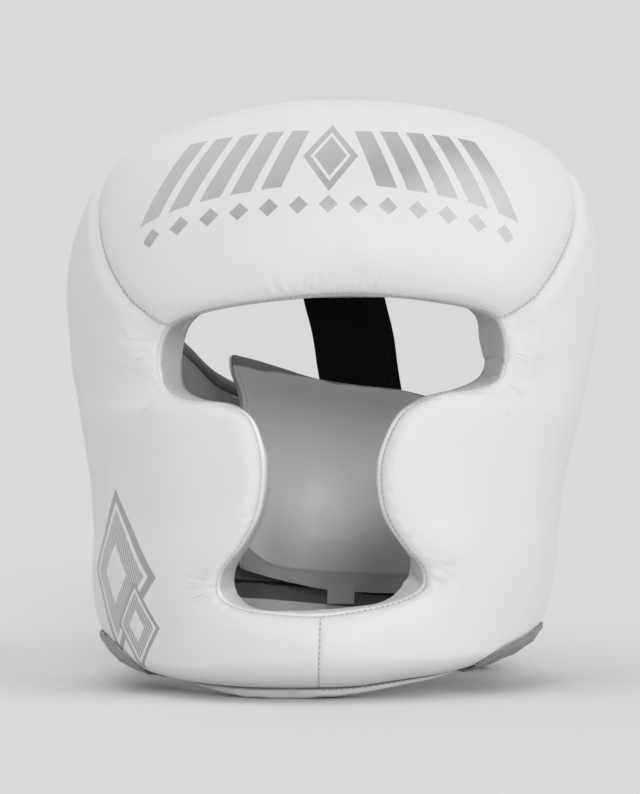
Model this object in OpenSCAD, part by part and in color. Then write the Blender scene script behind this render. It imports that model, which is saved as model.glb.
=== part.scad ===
// Boxing headguard with a full face frame. One keyhole opening serves the eyes, nose and mouth.
// Padded panels stand round it, a pad crosses the crown, and two flaps close behind the head.
// The wearer looks along -Y, and the wearer's left is +X. Sizes are in millimetres and angles in
// degrees. Every surface is an offset of one head form, so the pads follow it when a size changes.

/* [Head space] */
// Half width of the head space at the temples
temple_half_w = 90; // [84:0.5:96]
// Half width of the head space at the jaw
jaw_half_w = 69; // [65:0.5:74]
// Depth of the head space from the ears to the chin bar
chin_depth = 103; // [98:0.5:110]
// Depth of the head space from the ears to the brow
brow_depth = 84; // [80:0.5:90]
// Depth of the head space from the ears to the back of the head
back_depth = 113; // [108:0.5:120]
// Depth of the head space from the ears to the nape
nape_depth = 92; // [87:0.5:98]
// Height at which the sides turn into the dome
dome_z = 165; // [160:1:170]
// Height of the dome over that level
dome_h = 73.5; // [68:0.5:80]
// Sideways lean of the soft shell in each 100 mm of height
lean = 4; // [0:0.5:6]

/* [Face opening] */
// Height of the top of the eye opening
eye_top_z = 166; // [162:1:170]
// Height of the foot of the eye opening
eye_low_z = 121.4; // [118:0.2:126]
// Half angle of the eye opening round the head
eye_half_a = 38.8; // [35:0.2:41]
// Half angle of the gap between the cheek pads
gap_half_a = 10.8; // [9:0.2:13]
// Half angle of the mouth end of the opening
mouth_half_a = 19.2; // [17:0.2:21]
// Height of the top of the chin bar
mouth_low_z = 35.8; // [33:0.2:39]
// How much wider the opening is at the wearer's side of the pads
flare = 0.17; // [0.1:0.01:0.2]

/* [Padding] */
// Padding over the forehead
brow_pad = 34; // [30:0.5:38]
// Padding over the temples
temple_pad = 30; // [28:0.5:33]
// Padding over the cheeks
cheek_pad = 34.5; // [32:0.5:38]
// Padding of the chin bar
chin_pad = 28.5; // [26:0.5:31]
// Padding where the panels meet the opening
rim_pad = 26; // [23:0.5:28]
// Padding where the side panels meet the ear panels
ear_seam_pad = 28; // [26:0.5:30]
// Padding at a bound outer edge
edge_pad = 9; // [7:0.5:11]
// Padding of the crown pad
crown_pad = 14; // [11:0.5:18]
// Padding of the inner closing flap
inner_flap_pad = 7.5; // [6:0.5:9]
// Padding of the outer closing flap
outer_flap_pad = 9.5; // [8:0.5:12]

/* [Leather and cloth] */
// Thickness of the outer leather
cover_t = 1.5; // [1:0.1:2]
// Thickness of the lining
lining_t = 1.2; // [0.8:0.1:1.6]
// Thickness of the facing strip round the opening
facing_t = 1.2; // [0.8:0.1:1.6]
// Play between leather and foam
play = 0.3; // [0.2:0.05:0.4]
// Depth of the valley along a seam between two pads
seam_dip = 3; // [1:0.5:4]

/* [Edges] */
// Angle of the seam between the side panels and the ear panels
ear_seam_a = 82; // [80:0.5:84]
// Height of the pads' lower edge over the ground
hem_z = 5; // [4:0.5:6]
// Width of the folded lip under the chin bar
lip_w = 13; // [11:0.5:15]
// Thickness of the silver strips round the jaw corners
jaw_strip_t = 2; // [1.5:0.1:2.5]
// Height of those strips on the face of the pads
jaw_strip_h = 9; // [7:0.5:11]
// Thickness of the piping on the crown pad
piping_d = 6; // [4:0.5:7]

/* [Ears] */
// Angle of the middle of the ear hole
ear_a = 103; // [100:0.5:106]
// Height of the middle of the ear hole
ear_z = 138; // [134:1:142]
// Width of the ear hole
ear_hole_w = 24; // [18:1:28]
// Height of the ear hole
ear_hole_h = 42; // [34:1:48]
// Padding round the ear hole
ear_pad = 24; // [21:0.5:27]

/* [Crown and closure] */
// Angle of the rear end of the crown pad, counted from the brow over the top
crown_end_a = 172; // [168:1:174]
// Angle at which both flaps are sewn to the ear panels
root_a = 130; // [128:0.5:132]
// Gap between a flap and the ear panel that it is sewn to
root_gap = 0.3; // [0.2:0.1:0.8]
// Angle past the back of the head that the inner flap reaches
inner_reach_a = 27; // [22:0.5:30]
// Angle past the back of the head that the outer flap reaches
outer_reach_a = 32; // [26:0.5:36]
// Gap between the two closing flaps
flap_gap = 1.5; // [1.3:0.1:2.2]
// Height of the dark binding rolled over the top of the outer flap
roll_d = 8; // [6:0.5:9]
// Thickness of a hook or loop patch
patch_t = 1.2; // [0.8:0.1:1.6]
// Width of the rear strap
strap_w = 40; // [36:1:44]
// Thickness of the rear strap
strap_t = 2; // [1.4:0.1:2.6]
// Distance of the rear strap from the middle plane, at the foot of the dome
strap_x = 4.5; // [-6:0.5:8]
// Slant of the rear strap, as it was closed
strap_slant = 14.5; // [-4:0.5:16]
// Height of the top end of the rear strap, along the surface
strap_top_v = 210; // [204:1:214]
// Height at which the rear strap leaves the outer flap
strap_bend_z = 112; // [108:1:116]
// Height of the lower end of the rear strap
strap_low_z = 60; // [54:1:68]
// Width of the blank cloth tab
tab_w = 13; // [10:0.5:16]
// Length of the blank cloth tab
tab_l = 10.5; // [8:0.5:13]

/* [Hidden] */

white_leather = [0.93, 0.93, 0.92];
grey_cloth = [0.55, 0.55, 0.54];
dark_cloth = [0.2, 0.2, 0.2];
pale_foam = [0.8, 0.8, 0.74];
silver_leather = [0.62, 0.62, 0.63];
black_web = [0.05, 0.05, 0.05];

left = 1;
right = -1;
// Distance of the strap's inner face from the wearer's side of the crown pad
crown_out = crown_pad + play * 4 + patch_t * 2;
// The middle of the guard, front to back, lies over the origin
middle_y = (chin_depth + chin_pad - back_depth - crown_out - strap_t) / 2;
lean_z = 172;
round_w = 2.3;
round_h = 2.35;
rim_round = 13;
last = 19;
corner = 4;
chin_start = 15;
// Stations that the lip takes up on both sides of the chin seam
lip_reach = 1.3;
// Stations of the strips round the jaw corners
strip_s = [15.35, 15.6, 15.85, 16.1, 16.4, 16.75, 17.2];
ear_mm = 1.75;

// Shares of the way from the jaw's width to the temples' width, by share of dome_z
SIDE = [[0, -0.14], [0.09, -0.07], [0.2, 0], [0.42, 0], [0.53, 0.07], [0.64, 0.29],
        [0.75, 0.62], [0.85, 0.88], [1, 1]];
// Shares of the way from the brow's depth to the chin's depth
FRONT = [[0, 0.68], [0.11, 1], [0.24, 0.95], [0.39, 0.68], [0.55, 0.47], [0.73, 0.26],
         [0.85, 0.1], [1, 0]];
// Shares of the way from the nape's depth to the back's depth
REAR = [[0, 0], [0.24, 0.1], [0.48, 0.38], [0.73, 0.86], [1, 1]];

function mix(a, b, u) = a * (1 - u) + b * u;
function limit(x, low, high) = min(max(x, low), high);
function ease(u) = let (c = limit(u, 0, 1)) c * c * (3 - 2 * c);

// A smooth curve through a table of [place, value] pairs
function slope(tab, j) =
    let (a = max(j - 1, 0), b = min(j + 1, len(tab) - 1))
    (tab[b][1] - tab[a][1]) / (tab[b][0] - tab[a][0]);
function curve(tab, x, i = 0) =
    i < len(tab) - 2 && x >= tab[i + 1][0] ? curve(tab, x, i + 1) :
    let (h = tab[i + 1][0] - tab[i][0],
         u = limit((x - tab[i][0]) / h, 0, 1))
    (2 * u ^ 3 - 3 * u ^ 2 + 1) * tab[i][1] + (u ^ 3 - 2 * u ^ 2 + u) * slope(tab, i) * h +
    (3 * u ^ 2 - 2 * u ^ 3) * tab[i + 1][1] + (u ^ 3 - u ^ 2) * slope(tab, i + 1) * h;

// A point of the head form: angle round the head from the nose, height along the surface, and
// distance out from the wearer's side
function form(a, v, w) =
    let (share = min(v, dome_z) / dome_z,
         across = mix(jaw_half_w, temple_half_w, curve(SIDE, share)),
         along = cos(a) > 0 ? mix(brow_depth, chin_depth, curve(FRONT, share))
                            : mix(nape_depth, back_depth, curve(REAR, share)),
         r = (abs(sin(a) / across) ^ round_w + abs(cos(a) / along) ^ round_w) ^ (-1 / round_w),
         rise = v > dome_z ? min((v - dome_z) / dome_h * 180 / PI, 90) : 0,
         g = (abs(cos(rise)) ^ round_h + abs(sin(rise)) ^ round_h) ^ (-1 / round_h),
         out = (v > dome_z ? g * cos(rise) : 1) * r + w * cos(rise),
         z = (v > dome_z ? dome_z + dome_h * g * sin(rise) : v) + w * sin(rise))
    [out * sin(a) + lean * (z - lean_z) / 100, middle_y - out * cos(a), z];

// Stations of the front panels, from the top of the opening down to the chin: angle and height
// of the opening's rim, angle and height of the outer edge, padding at the rim, in the middle
// and at the edge, how far the edge is rounded, and a bow in height
function rim_eye(a, drop) = [eye_half_a * a, mix(eye_top_z, eye_low_z, drop)];
function rim_nose(a, drop) =
    [mix(gap_half_a, mouth_half_a, a), mix(eye_low_z, mouth_low_z, drop)];
function rim_chin(a, drop) = [mouth_half_a * a, mix(eye_low_z, mouth_low_z, drop)];
function dome_v(share) = dome_z + dome_h * share;
STATIONS = [
    [rim_eye(0, 0), [0, dome_v(1.115)], [rim_pad + 1, brow_pad, edge_pad], 38, 0],
    [rim_eye(0.26, 0.02), [24, dome_v(1.09)], [rim_pad + 1, brow_pad, edge_pad], 38, 0],
    [rim_eye(0.51, 0.08), [44, dome_v(1.007)], [rim_pad, brow_pad, edge_pad], 38, 0],
    [rim_eye(0.77, 0.17), [61, dome_v(0.9)], [rim_pad - 1, brow_pad, edge_pad], 34, -2],
    [rim_eye(0.935, 0.27), [77, dome_v(0.762)], [rim_pad - 1, brow_pad - 2, edge_pad + 1], 28, -5],
    [rim_eye(1, 0.45), [ear_seam_a, dome_v(0.42)], [rim_pad - 1, temple_pad, ear_seam_pad - 2],
     8, -2],
    [rim_eye(0.995, 0.63), [ear_seam_a, dome_v(0.068)], [rim_pad - 1, temple_pad - 1, ear_seam_pad],
     6, 0],
    [rim_eye(0.92, 0.83), [ear_seam_a, dome_z * 0.88], [rim_pad, temple_pad - 2, ear_seam_pad], 5, 0],
    [rim_eye(0.75, 0.95), [ear_seam_a, dome_z * 0.76], [rim_pad + 2, temple_pad, ear_seam_pad], 5, 0],
    [rim_eye(0.54, 1), [ear_seam_a, dome_z * 0.67], [rim_pad + 3, cheek_pad - 1.5, ear_seam_pad], 5, 0],
    [rim_nose(0.47, 0.063), [ear_seam_a, dome_z * 0.59], [rim_pad + 4, cheek_pad, ear_seam_pad], 5, 0],
    [rim_nose(0.09, 0.215), [ear_seam_a, dome_z * 0.52], [rim_pad + 4, cheek_pad + 0.5, ear_seam_pad],
     5, 0],
    [rim_nose(0, 0.36), [ear_seam_a, dome_z * 0.455], [rim_pad + 4, cheek_pad + 0.5, ear_seam_pad], 5, 0],
    [rim_nose(0.13, 0.53), [ear_seam_a, dome_z * 0.38], [rim_pad + 4, cheek_pad, ear_seam_pad], 5, 0],
    [rim_nose(0.53, 0.68), [ear_seam_a, dome_z * 0.3], [rim_pad + 3, cheek_pad, ear_seam_pad], 5, 0],
    [rim_nose(1, 0.805), [ear_seam_a - 1, dome_z * 0.206],
     [rim_pad + 1, cheek_pad - 1.5, ear_seam_pad - 2], 8, 0],
    [rim_chin(1, 0.91), [71, hem_z + 12], [rim_pad - 1, chin_pad + 2.5, ear_seam_pad - 12], 16, 0],
    [rim_chin(0.77, 0.967), [45, hem_z + 2.5], [rim_pad - 2, chin_pad + 0.5, edge_pad + 1], 16, 0],
    [rim_chin(0.37, 0.99), [20, hem_z], [rim_pad - 2, chin_pad, edge_pad], 16, 0],
    [rim_chin(0, 1), [0, hem_z], [rim_pad - 2, chin_pad, edge_pad], 16, 0]];

// The panels go on as a mirror image past both ends of the table
function mirrored(st) = [[-st[0][0], st[0][1]], [-st[1][0], st[1][1]], st[2], st[3], st[4]];
function row(j) = j < 0 ? mirrored(STATIONS[-j]) :
    j > last ? mirrored(STATIONS[2 * last - j]) : STATIONS[j];
function blend4(p0, p1, p2, p3, u) = (2 * p1 + (p2 - p0) * u +
    (2 * p0 - 5 * p1 + 4 * p2 - p3) * u ^ 2 + (3 * p1 - 3 * p2 + p3 - p0) * u ^ 3) / 2;
function station(s) =
    let (i = limit(floor(s), 0, last - 1), u = s - i)
    [for (k = [0:4]) blend4(row(i - 1)[k], row(i)[k], row(i + 1)[k], row(i + 2)[k], u)];

// Length of a station's line over the pad, from rim to edge
function reach(st) = norm([(st[1][0] - st[0][0]) * 2, st[1][1] - st[0][1]]);
// Padding at a share t of that line: it rises from the rim and rolls over at the edge
function padding(st, t) =
    let (d = t * reach(st),
         rim = (1 - min(d / rim_round, 1)) ^ 2 * (st[2][1] - st[2][0]),
         q = 1 - min((reach(st) - d) / st[3], 1),
         edge = (1 - sqrt(max(0, 1 - q * q))) * (st[2][1] - st[2][2]))
    st[2][1] - rim - edge;
// The valleys along the two corner seams and the chin seam
function valley(s) = seam_dip * (max(0, 1 - abs(s - corner) / 0.4) ^ 2 +
    0.5 * max(0, 1 - (last - s) / 0.3) ^ 2);
function pad_at(s, t) =
    let (d = t * reach(station(s)), fade = limit(d / rim_round, 0, 1))
    padding(station(s), t) - valley(s) * fade;

// A point of the front panels. s counts stations, t goes from rim to edge, and w is the
// distance out from the wearer's side
function panel(side, s, t, w) =
    let (st = station(s),
         wide = 1 + flare * (1 - limit(w / padding(st, t), 0, 1)) * (1 - t) ^ 3,
         a = mix(st[0][0] * wide, st[1][0], t),
         v = mix(st[0][1], st[1][1], t) + st[4] * 4 * t * (1 - t))
    form(side * a, v, w);

// Share of a station's line that a length takes
function share(s, length) = length / reach(station(s));

// A closed solid between an outer and an inner grid of points
module slab(outer, inner, loop = false) {
    ni = len(outer);
    nj = len(outer[0]);
    m = floor(ni / 2) - 1;
    k = max(floor(nj / 2) - 1, 0);
    up = cross(outer[m + 1][k] - outer[m][k], outer[m][k + 1] - outer[m][k]) *
         (outer[m][k] - inner[m][k]) > 0;
    function at(layer, i, j) = (layer * ni + i % ni) * nj + j;
    runs = loop ? ni - 1 : ni - 2;
    quads = concat(
        [for (i = [0:runs], j = [0:nj - 2])
            [at(0, i, j), at(0, i + 1, j), at(0, i + 1, j + 1), at(0, i, j + 1)]],
        [for (i = [0:runs], j = [0:nj - 2])
            [at(1, i, j), at(1, i, j + 1), at(1, i + 1, j + 1), at(1, i + 1, j)]],
        [for (i = [0:runs]) [at(0, i + 1, 0), at(0, i, 0), at(1, i, 0), at(1, i + 1, 0)]],
        [for (i = [0:runs])
            [at(0, i, nj - 1), at(0, i + 1, nj - 1), at(1, i + 1, nj - 1), at(1, i, nj - 1)]],
        loop ? [] : [for (j = [0:nj - 2])
            [at(0, 0, j), at(0, 0, j + 1), at(1, 0, j + 1), at(1, 0, j)]],
        loop ? [] : [for (j = [0:nj - 2])
            [at(0, ni - 1, j), at(1, ni - 1, j), at(1, ni - 1, j + 1), at(0, ni - 1, j + 1)]]);
    faces = [for (q = quads) each up ? [[q[2], q[1], q[0]], [q[3], q[2], q[0]]]
                                     : [[q[0], q[1], q[2]], [q[0], q[2], q[3]]]];
    polyhedron([for (g = [outer, inner]) each [for (line = g) each line]], faces);
}

// A closed tube through rings of points, all with the same number of points
module tube(rings) {
    nr = len(rings);
    np = len(rings[0]);
    function mean(ring) = ring * [for (p = ring) 1] / len(ring);
    middle = [for (c = [0:2]) mean([for (p = rings[0]) p[c]])];
    up = cross(rings[0][1] - rings[0][0], rings[1][0] - rings[0][0]) *
         (rings[0][0] - middle) > 0;
    walls = [for (i = [0:nr - 2], j = [0:np - 1])
        [i * np + j, i * np + (j + 1) % np, (i + 1) * np + (j + 1) % np, (i + 1) * np + j]];
    first_cap = [for (j = [1:np - 2]) [0, j + 1, j]];
    last_cap = [for (j = [1:np - 2]) [(nr - 1) * np, (nr - 1) * np + j, (nr - 1) * np + j + 1]];
    tris = concat([for (q = walls) each [[q[0], q[1], q[2]], [q[0], q[2], q[3]]]],
                  first_cap, last_cap);
    polyhedron([for (r = rings) each r], [for (f = tris) up ? [f[2], f[1], f[0]] : f]);
}

// Samples along and across the panels. Cover, foam and lining share them, so that their faces
// stay parallel.
brow_s = [-3.98, -3.75, -3.3, -2.6, -1.9, -1.2, -0.5, 0.5, 1.2, 1.9, 2.6, 3.3, 3.75, 3.98];
side_s = concat([4.02, 4.25], [for (s = [5:0.8:14]) s], [chin_start, 15.6, 16.2, 16.9, 17.6,
                18.3, 18.75, 18.98]);
wide_t = [0, 0.06, 0.17, 0.36, 0.58, 0.78, 0.9, 1];

// Side of the middle plane on which a signed station lies
function hand(s) = s < 0 ? -1 : 1;
// The facing strip's share of a station's line
function inset(s) = share(abs(s), facing_t + play);
// One face of a layer. A gap draws it back from the facing and from the outer edge, and its
// depth still follows the pad's own outline.
function layer(side, list, gap, out, w) = [for (s = list) [for (t = wide_t)
    let (u = mix(inset(s), 1, t), drawn = limit(u, inset(s) + share(abs(s), gap * 3),
                                                1 - share(abs(s), gap)))
    panel(side * hand(s), abs(s), drawn, out ? pad_at(abs(s), u) - w : w)]];
module cover(side, list) {
    slab(layer(side, list, 0, true, 0), layer(side, list, 0, true, cover_t));
}

module foam(side, list) {
    slab(layer(side, list, play, true, cover_t + play),
         layer(side, list, play, false, lining_t + play));
}

module lining(side, list) {
    slab(layer(side, list, 0, false, lining_t), layer(side, list, 0, false, 0));
}

module forehead_cover() {
    color(white_leather) cover(left, brow_s);
}

module forehead_foam() {
    color(pale_foam) foam(left, brow_s);
}

module forehead_lining() {
    color(grey_cloth) lining(left, brow_s);
}

module cheek_cover(side) {
    color(white_leather) cover(side, side_s);
}

module cheek_foam(side) {
    list = [for (s = side_s) if (s < chin_start) s];
    color(pale_foam) foam(side, concat(list, [chin_start - 0.01]));
}

module chin_foam(side) {
    list = [for (s = side_s) if (s > chin_start) s];
    color(pale_foam) foam(side, concat([chin_start + 0.01], list));
}

module side_lining(side) {
    color(grey_cloth) lining(side, side_s);
}

// The facing strip lines the whole opening, from the lining out to the cover's seam
module face_facing() {
    half = concat([for (s = brow_s) if (s > 0) s], side_s);
    turns = concat([for (s = half) [left, s]],
                   [for (i = [len(half) - 1:-1:0]) [right, half[i]]]);
    function grid(depth) = [for (p = turns) let (s = p[1], d = share(s, facing_t) * depth)
        [for (k = [0, 0.5, 1]) panel(p[0], s, d, padding(station(s), 0) * k)]];
    color(grey_cloth) slab(grid(0), grid(1), true);
}

// A bead of binding under a panel's edge at angle a and height v, flat where it stands
function bead(a, v, pad, w, h) =
    [for (k = [0:7]) let (c = 22.5 + 45 * k)
        form(a, max(v - play - h / 2 + h / 2 * sin(c) / sin(67.5), 0),
             pad / 2 + w / 2 * cos(c) / cos(22.5))];
function panel_bead(side, s, w, h) =
    let (st = station(s)) bead(side * st[1][0], st[1][1], st[2][2], w, h);

module chin_lip() {
    places = [for (k = [-8:8]) k / 8 * lip_reach];
    color(white_leather)
        tube([for (p = places) panel_bead(hand(p), last - abs(p), lip_w, hem_z - play)]);
}

// A strip that wraps a jaw corner's lower edge, from the face of the pad to under it
module jaw_strip(side) {
    function wrap(s, lift) = concat(
        [for (k = [1:-0.2:0]) let (t = 1 - share(s, jaw_strip_h * k))
            panel(side, s, t, pad_at(s, t) + play + lift)],
        let (st = station(s), low = st[1][1] - play - lift)
            [for (k = [1, 0.6, 0.2]) form(side * st[1][0], low, st[2][2] * k)]);
    function grid(lift) = [for (s = strip_s) wrap(s, lift)];
    color(silver_leather) slab(grid(jaw_strip_t), grid(0));
}

// Outline of the ear panels as angle and height, with the padding at the edge and how far that
// edge is rounded. It starts at the top of the seam to the side panel and runs down that seam,
// under the ear, up the flap's root and over the ear.
EAR = [
    [[ear_seam_a, dome_v(0.62)], ear_seam_pad - 8, 12],
    [[ear_seam_a, dome_v(0.33)], ear_seam_pad - 2, 7],
    [[ear_seam_a, dome_z], ear_seam_pad, 5], [[ear_seam_a, dome_z * 0.84], ear_seam_pad, 5],
    [[ear_seam_a, dome_z * 0.68], ear_seam_pad, 5], [[ear_seam_a, dome_z * 0.52], ear_seam_pad, 5],
    [[ear_seam_a, dome_z * 0.38], ear_seam_pad, 5], [[ear_seam_a, dome_z * 0.24], ear_seam_pad - 2, 7],
    [[ear_seam_a + 4, dome_z * 0.13], ear_seam_pad - 10, 12],
    [[ear_seam_a + 12, hem_z * 2], edge_pad + 3, 14], [[ear_seam_a + 23, hem_z], edge_pad + 2, 14],
    [[ear_seam_a + 35, hem_z], edge_pad + 2, 14], [[root_a - 4, hem_z * 2], edge_pad + 1, 14],
    [[root_a, dome_z * 0.18], edge_pad, 16],
    [[root_a, dome_z * 0.36], edge_pad, 18], [[root_a, dome_z * 0.56], edge_pad, 18],
    [[root_a, dome_z * 0.76], edge_pad, 18], [[root_a - 1.5, dome_z * 0.93], edge_pad, 16],
    [[root_a - 9, dome_v(0.22)], edge_pad, 16], [[root_a - 22, dome_v(0.5)], edge_pad, 16],
    [[root_a - 36, dome_v(0.68)], edge_pad + 1, 14]];
function ear_station(e) =
    let (dx = (e[0][0] - ear_a) * ear_mm, dv = e[0][1] - ear_z, c = atan2(dv, dx))
    [[ear_a + ear_hole_w / 2 * cos(c) / ear_mm, ear_z + ear_hole_h / 2 * sin(c)],
     e[0], [ear_pad - 5, ear_pad + 3, e[1]], e[2], 0];
function ear_at(side, st, t, w) =
    form(side * mix(st[0][0], st[1][0], t), mix(st[0][1], st[1][1], t), w);
ear_t = [0, 0.12, 0.35, 0.62, 0.82, 0.93, 1];
function ear_grid(side, gap, out, w) = [for (e = EAR) let (st = ear_station(e))
    [for (t = ear_t) let (u = mix((facing_t + gap) / reach(st), 1, t))
        ear_at(side, st, min(u, 1 - gap / reach(st)), out ? padding(st, u) - w : w)]];

module ear_cover(side) {
    color(white_leather)
        slab(ear_grid(side, play, true, 0), ear_grid(side, play, true, cover_t), true);
}

module ear_foam(side) {
    color(pale_foam) slab(ear_grid(side, play * 2, true, cover_t + play),
                          ear_grid(side, play * 2, false, lining_t + play), true);
}

module ear_lining(side) {
    color(grey_cloth)
        slab(ear_grid(side, play, false, lining_t), ear_grid(side, play, false, 0), true);
}

// Binding under the ear panel, on which the guard's back stands
module ear_hem(side) {
    feet = [for (i = [9:12]) EAR[i]];
    ends = [mix(feet[0][0][0], feet[1][0][0], 0.3), mix(feet[3][0][0], feet[2][0][0], 0.3)];
    heights = [feet[1][0][1] + 1.5, feet[2][0][1] + 1.5];
    foot = feet[1][0];
    far = feet[2][0];
    color(white_leather) tube([
        bead(side * ends[0], heights[0], feet[0][1], lip_w - 1, hem_z - play),
        bead(side * foot[0], foot[1], feet[1][1], lip_w, hem_z - play),
        bead(side * (foot[0] + far[0]) / 2, foot[1], feet[1][1], lip_w, hem_z - play),
        bead(side * far[0], far[1], feet[2][1], lip_w, hem_z - play),
        bead(side * ends[1], heights[1], feet[3][1], lip_w - 1, hem_z - play)]);
}

module ear_rim(side) {
    function grid(depth) = [for (e = EAR) let (st = ear_station(e))
        [for (k = [0, 1]) ear_at(side, st, depth * facing_t / reach(st), padding(st, 0) * k)]];
    color(white_leather) slab(grid(0), grid(1), true);
}

// The crown pad runs from the forehead's top edge over the head and down behind it. Its half
// width is given as an angle, by the angle over the top.
CROWN = [[64, 32], [90, 30], [120, 23], [150, 15.5], [175, 13.5]];
brow_top_a = 1.115 * 180 / PI;
crown_us = [0, 0.06, 0.15, 0.25, 0.36, 0.48, 0.6, 0.72, 0.83, 0.9, 0.96, 1];
function crown_at(over, side_a, w) =
    let (x = sin(side_a), y = -cos(side_a) * cos(over), z = cos(side_a) * sin(over))
    form(atan2(x, -y), dome_z + asin(z) / 180 * PI * dome_h, w);
// The front edge bends back towards the temples, as the forehead's top edge does
function crown_over(u, j) =
    mix(brow_top_a + 0.5 + 5.4 * abs(j) ^ 3, crown_end_a, u);
function crown_wide(u, j) = j * curve(CROWN, crown_over(u, 0));
function crown_thick(u, j) =
    let (end = min(u, 1 - u) / 0.12, side = (1 - abs(j)) * 3)
    mix(edge_pad - 2, crown_pad, sqrt(limit(side, 0, 1) * limit(end + 0.2, 0, 1)));
crown_js = [-1, -0.94, -0.8, -0.4, 0, 0.4, 0.8, 0.94, 1];
function crown_grid(out, down) = [for (u = crown_us) [for (j = crown_js)
    crown_at(crown_over(u, j), crown_wide(u, j), out ? crown_thick(u, j) - down : down)]];
module crown_cover() {
    color(white_leather) slab(crown_grid(true, 0), crown_grid(true, cover_t));
}

module crown_foam() {
    color(pale_foam)
        slab(crown_grid(true, cover_t + play), crown_grid(false, lining_t + play));
}

module crown_lining() {
    color(grey_cloth) slab(crown_grid(false, lining_t), crown_grid(false, 0));
}

// Piping round the crown pad's two sides and its rear end
module crown_piping() {
    half = piping_d / 2;
    tall = edge_pad / 2;
    // Length of a degree along the crest and across it
    degree = temple_half_w * PI / 180;
    us = [for (u = crown_us) if (u > 0.05 && u < 1) u];
    gap = (half + play) / degree;
    function ring(u, side, end) =
        [for (k = [0:5]) let (c = 60 * k, off = gap + half * cos(c) / degree)
            crown_at(crown_over(u, 1) + end * off, crown_wide(u, side) + side * (1 - end) * off,
                     (edge_pad - 2) / 2 + tall * sin(c))];
    color(white_leather) tube(concat(
        [for (u = us) ring(u, 1, 0)], [ring(1, 1, 0.5)],
        [for (j = [0.5, 0, -0.5]) [for (k = [0:5])
            let (c = 60 * k, off = gap + half * cos(c) / degree)
            crown_at(crown_end_a + off, crown_wide(1, j), (edge_pad - 2) / 2 + tall * sin(c))]],
        [ring(1, -1, 0.5)], [for (i = [len(us) - 1:-1:0]) ring(us[i], -1, 0)]));
}

// A band on the crown pad's rear end that the strap's hooks grip
module crown_loop_patch() {
    us = [for (u = crown_us) if (u > 0.8 && u < 1) u];
    js = [for (j = crown_js) if (abs(j) < 0.9) j];
    function patch(up) = [for (u = us) [for (j = js)
        crown_at(crown_over(u, j), crown_wide(u, j), crown_thick(u, j) + play + up)]];
    color(black_web) slab(patch(patch_t), patch(0));
}

// A point behind the head by its distance from the middle plane
function back_at(x, v, w) = form(180 - asin(x / (back_depth + w)), v, w);

// The closing flaps. q goes from the root to the free end, and h from the lower to the upper
// edge. Their edges are given as height by share of the way.
INNER_TOP = [[0, 118], [0.3, 123], [0.43, 127], [0.57, 129.5], [0.71, 133], [0.83, 138.5],
             [0.91, 142], [1, 145]];
INNER_LOW = [[0, 36], [0.35, 31], [0.64, 32], [0.83, 37], [1, 43]];
OUTER_TOP = [[0, 148], [0.16, 141], [0.27, 128], [0.5, 114], [1, 108]];
OUTER_LOW = [[0, 30], [0.3, 22], [0.6, 16], [1, 17]];
inner_round = 5;
outer_round = 9;
root_turn = root_a + root_gap / ear_mm;
inner_span = 180 + inner_reach_a - root_turn;
outer_span = 180 + outer_reach_a - root_turn;
flap_q = concat([0, 0.05], [for (k = [1:13]) k * 0.07], [0.95, 0.98, 1]);
flap_h = [0, 0.1, 0.3, 0.5, 0.7, 0.9, 1];
patch_hs = [for (h = flap_h) if (h > 0.2 && h < 0.8) h];

// Loss of height near the free end, which rounds the flap's corners
function nip(q, span, r) =
    let (d = min((1 - q) * span * ear_mm, r)) r - sqrt(r ^ 2 - (r - d) ^ 2);
function flap_v(top, low, q, span, r, h) =
    mix(curve(low, q) + nip(q, span, r), curve(top, q) - nip(q, span, r), h);
// Padding of a flap at a share of its length and height
function swell(q, h, span, full) =
    let (d = min((1 - q) * span * ear_mm, h * 90, (1 - h) * 90, q * span * ear_mm + 4))
    mix(full * 0.55, full, sqrt(limit(d / 12, 0, 1)));
function inner_at(q, h, w) =
    form(root_turn + q * inner_span,
         flap_v(INNER_TOP, INNER_LOW, q, inner_span, inner_round, h), w);
function outer_base(q) =
    mix(play, inner_flap_pad + patch_t + flap_gap + play, ease((q * outer_span - 2) / 15));
function outer_at(q, h, w) =
    form(-root_turn - q * outer_span,
         flap_v(OUTER_TOP, OUTER_LOW, q, outer_span, outer_round, h), outer_base(q) + w);

function inner_grid(out, down) = [for (q = flap_q) [for (h = flap_h)
    inner_at(q, h, out ? play + swell(q, h, inner_span, inner_flap_pad) - down : play + down)]];
function outer_grid(out, down) = [for (q = flap_q) [for (h = flap_h)
    outer_at(q, h, out ? swell(q, h, outer_span, outer_flap_pad) - down : down)]];

module inner_flap_cover() {
    color(white_leather) slab(inner_grid(true, 0), inner_grid(true, cover_t));
}

module inner_flap_foam() {
    color(pale_foam) slab(inner_grid(true, cover_t + play), inner_grid(false, lining_t + play));
}

module inner_flap_lining() {
    color(grey_cloth) slab(inner_grid(false, lining_t), inner_grid(false, 0));
}

// A band sewn along the inner flap's lower edge, on the wearer's side
module inner_flap_band() {
    places = [for (q = flap_q) if (q > 0.05) q];
    function grid(w) = [for (q = places) [for (h = [0.01, 0.1]) inner_at(q, h, w)]];
    color(grey_cloth) slab(grid(play * 0.7), grid(-0.6));
}

module inner_loop_patch() {
    places = [for (q = flap_q) if (q > 0.3 && q < 0.93) q];
    function patch(w) = [for (q = places) [for (h = patch_hs) inner_at(q, h, w)]];
    color(dark_cloth)
        slab(patch(inner_flap_pad + play * 2 + patch_t), patch(inner_flap_pad + play * 2));
}

// A blank cloth tab that hangs from the inner flap's lower edge
tab_x = 5.5;
tab_top_z = 34.5;
tab_t = 0.6;
module label_tab() {
    function grid(w) = [for (x = [-0.5, 0, 0.5]) [for (v = [1, 0.5, 0])
        back_at(tab_x + x * tab_w, tab_top_z - v * tab_l, w)]];
    color(grey_cloth) slab(grid(-tab_t * 1.5), grid(-tab_t * 2.5));
}

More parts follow.
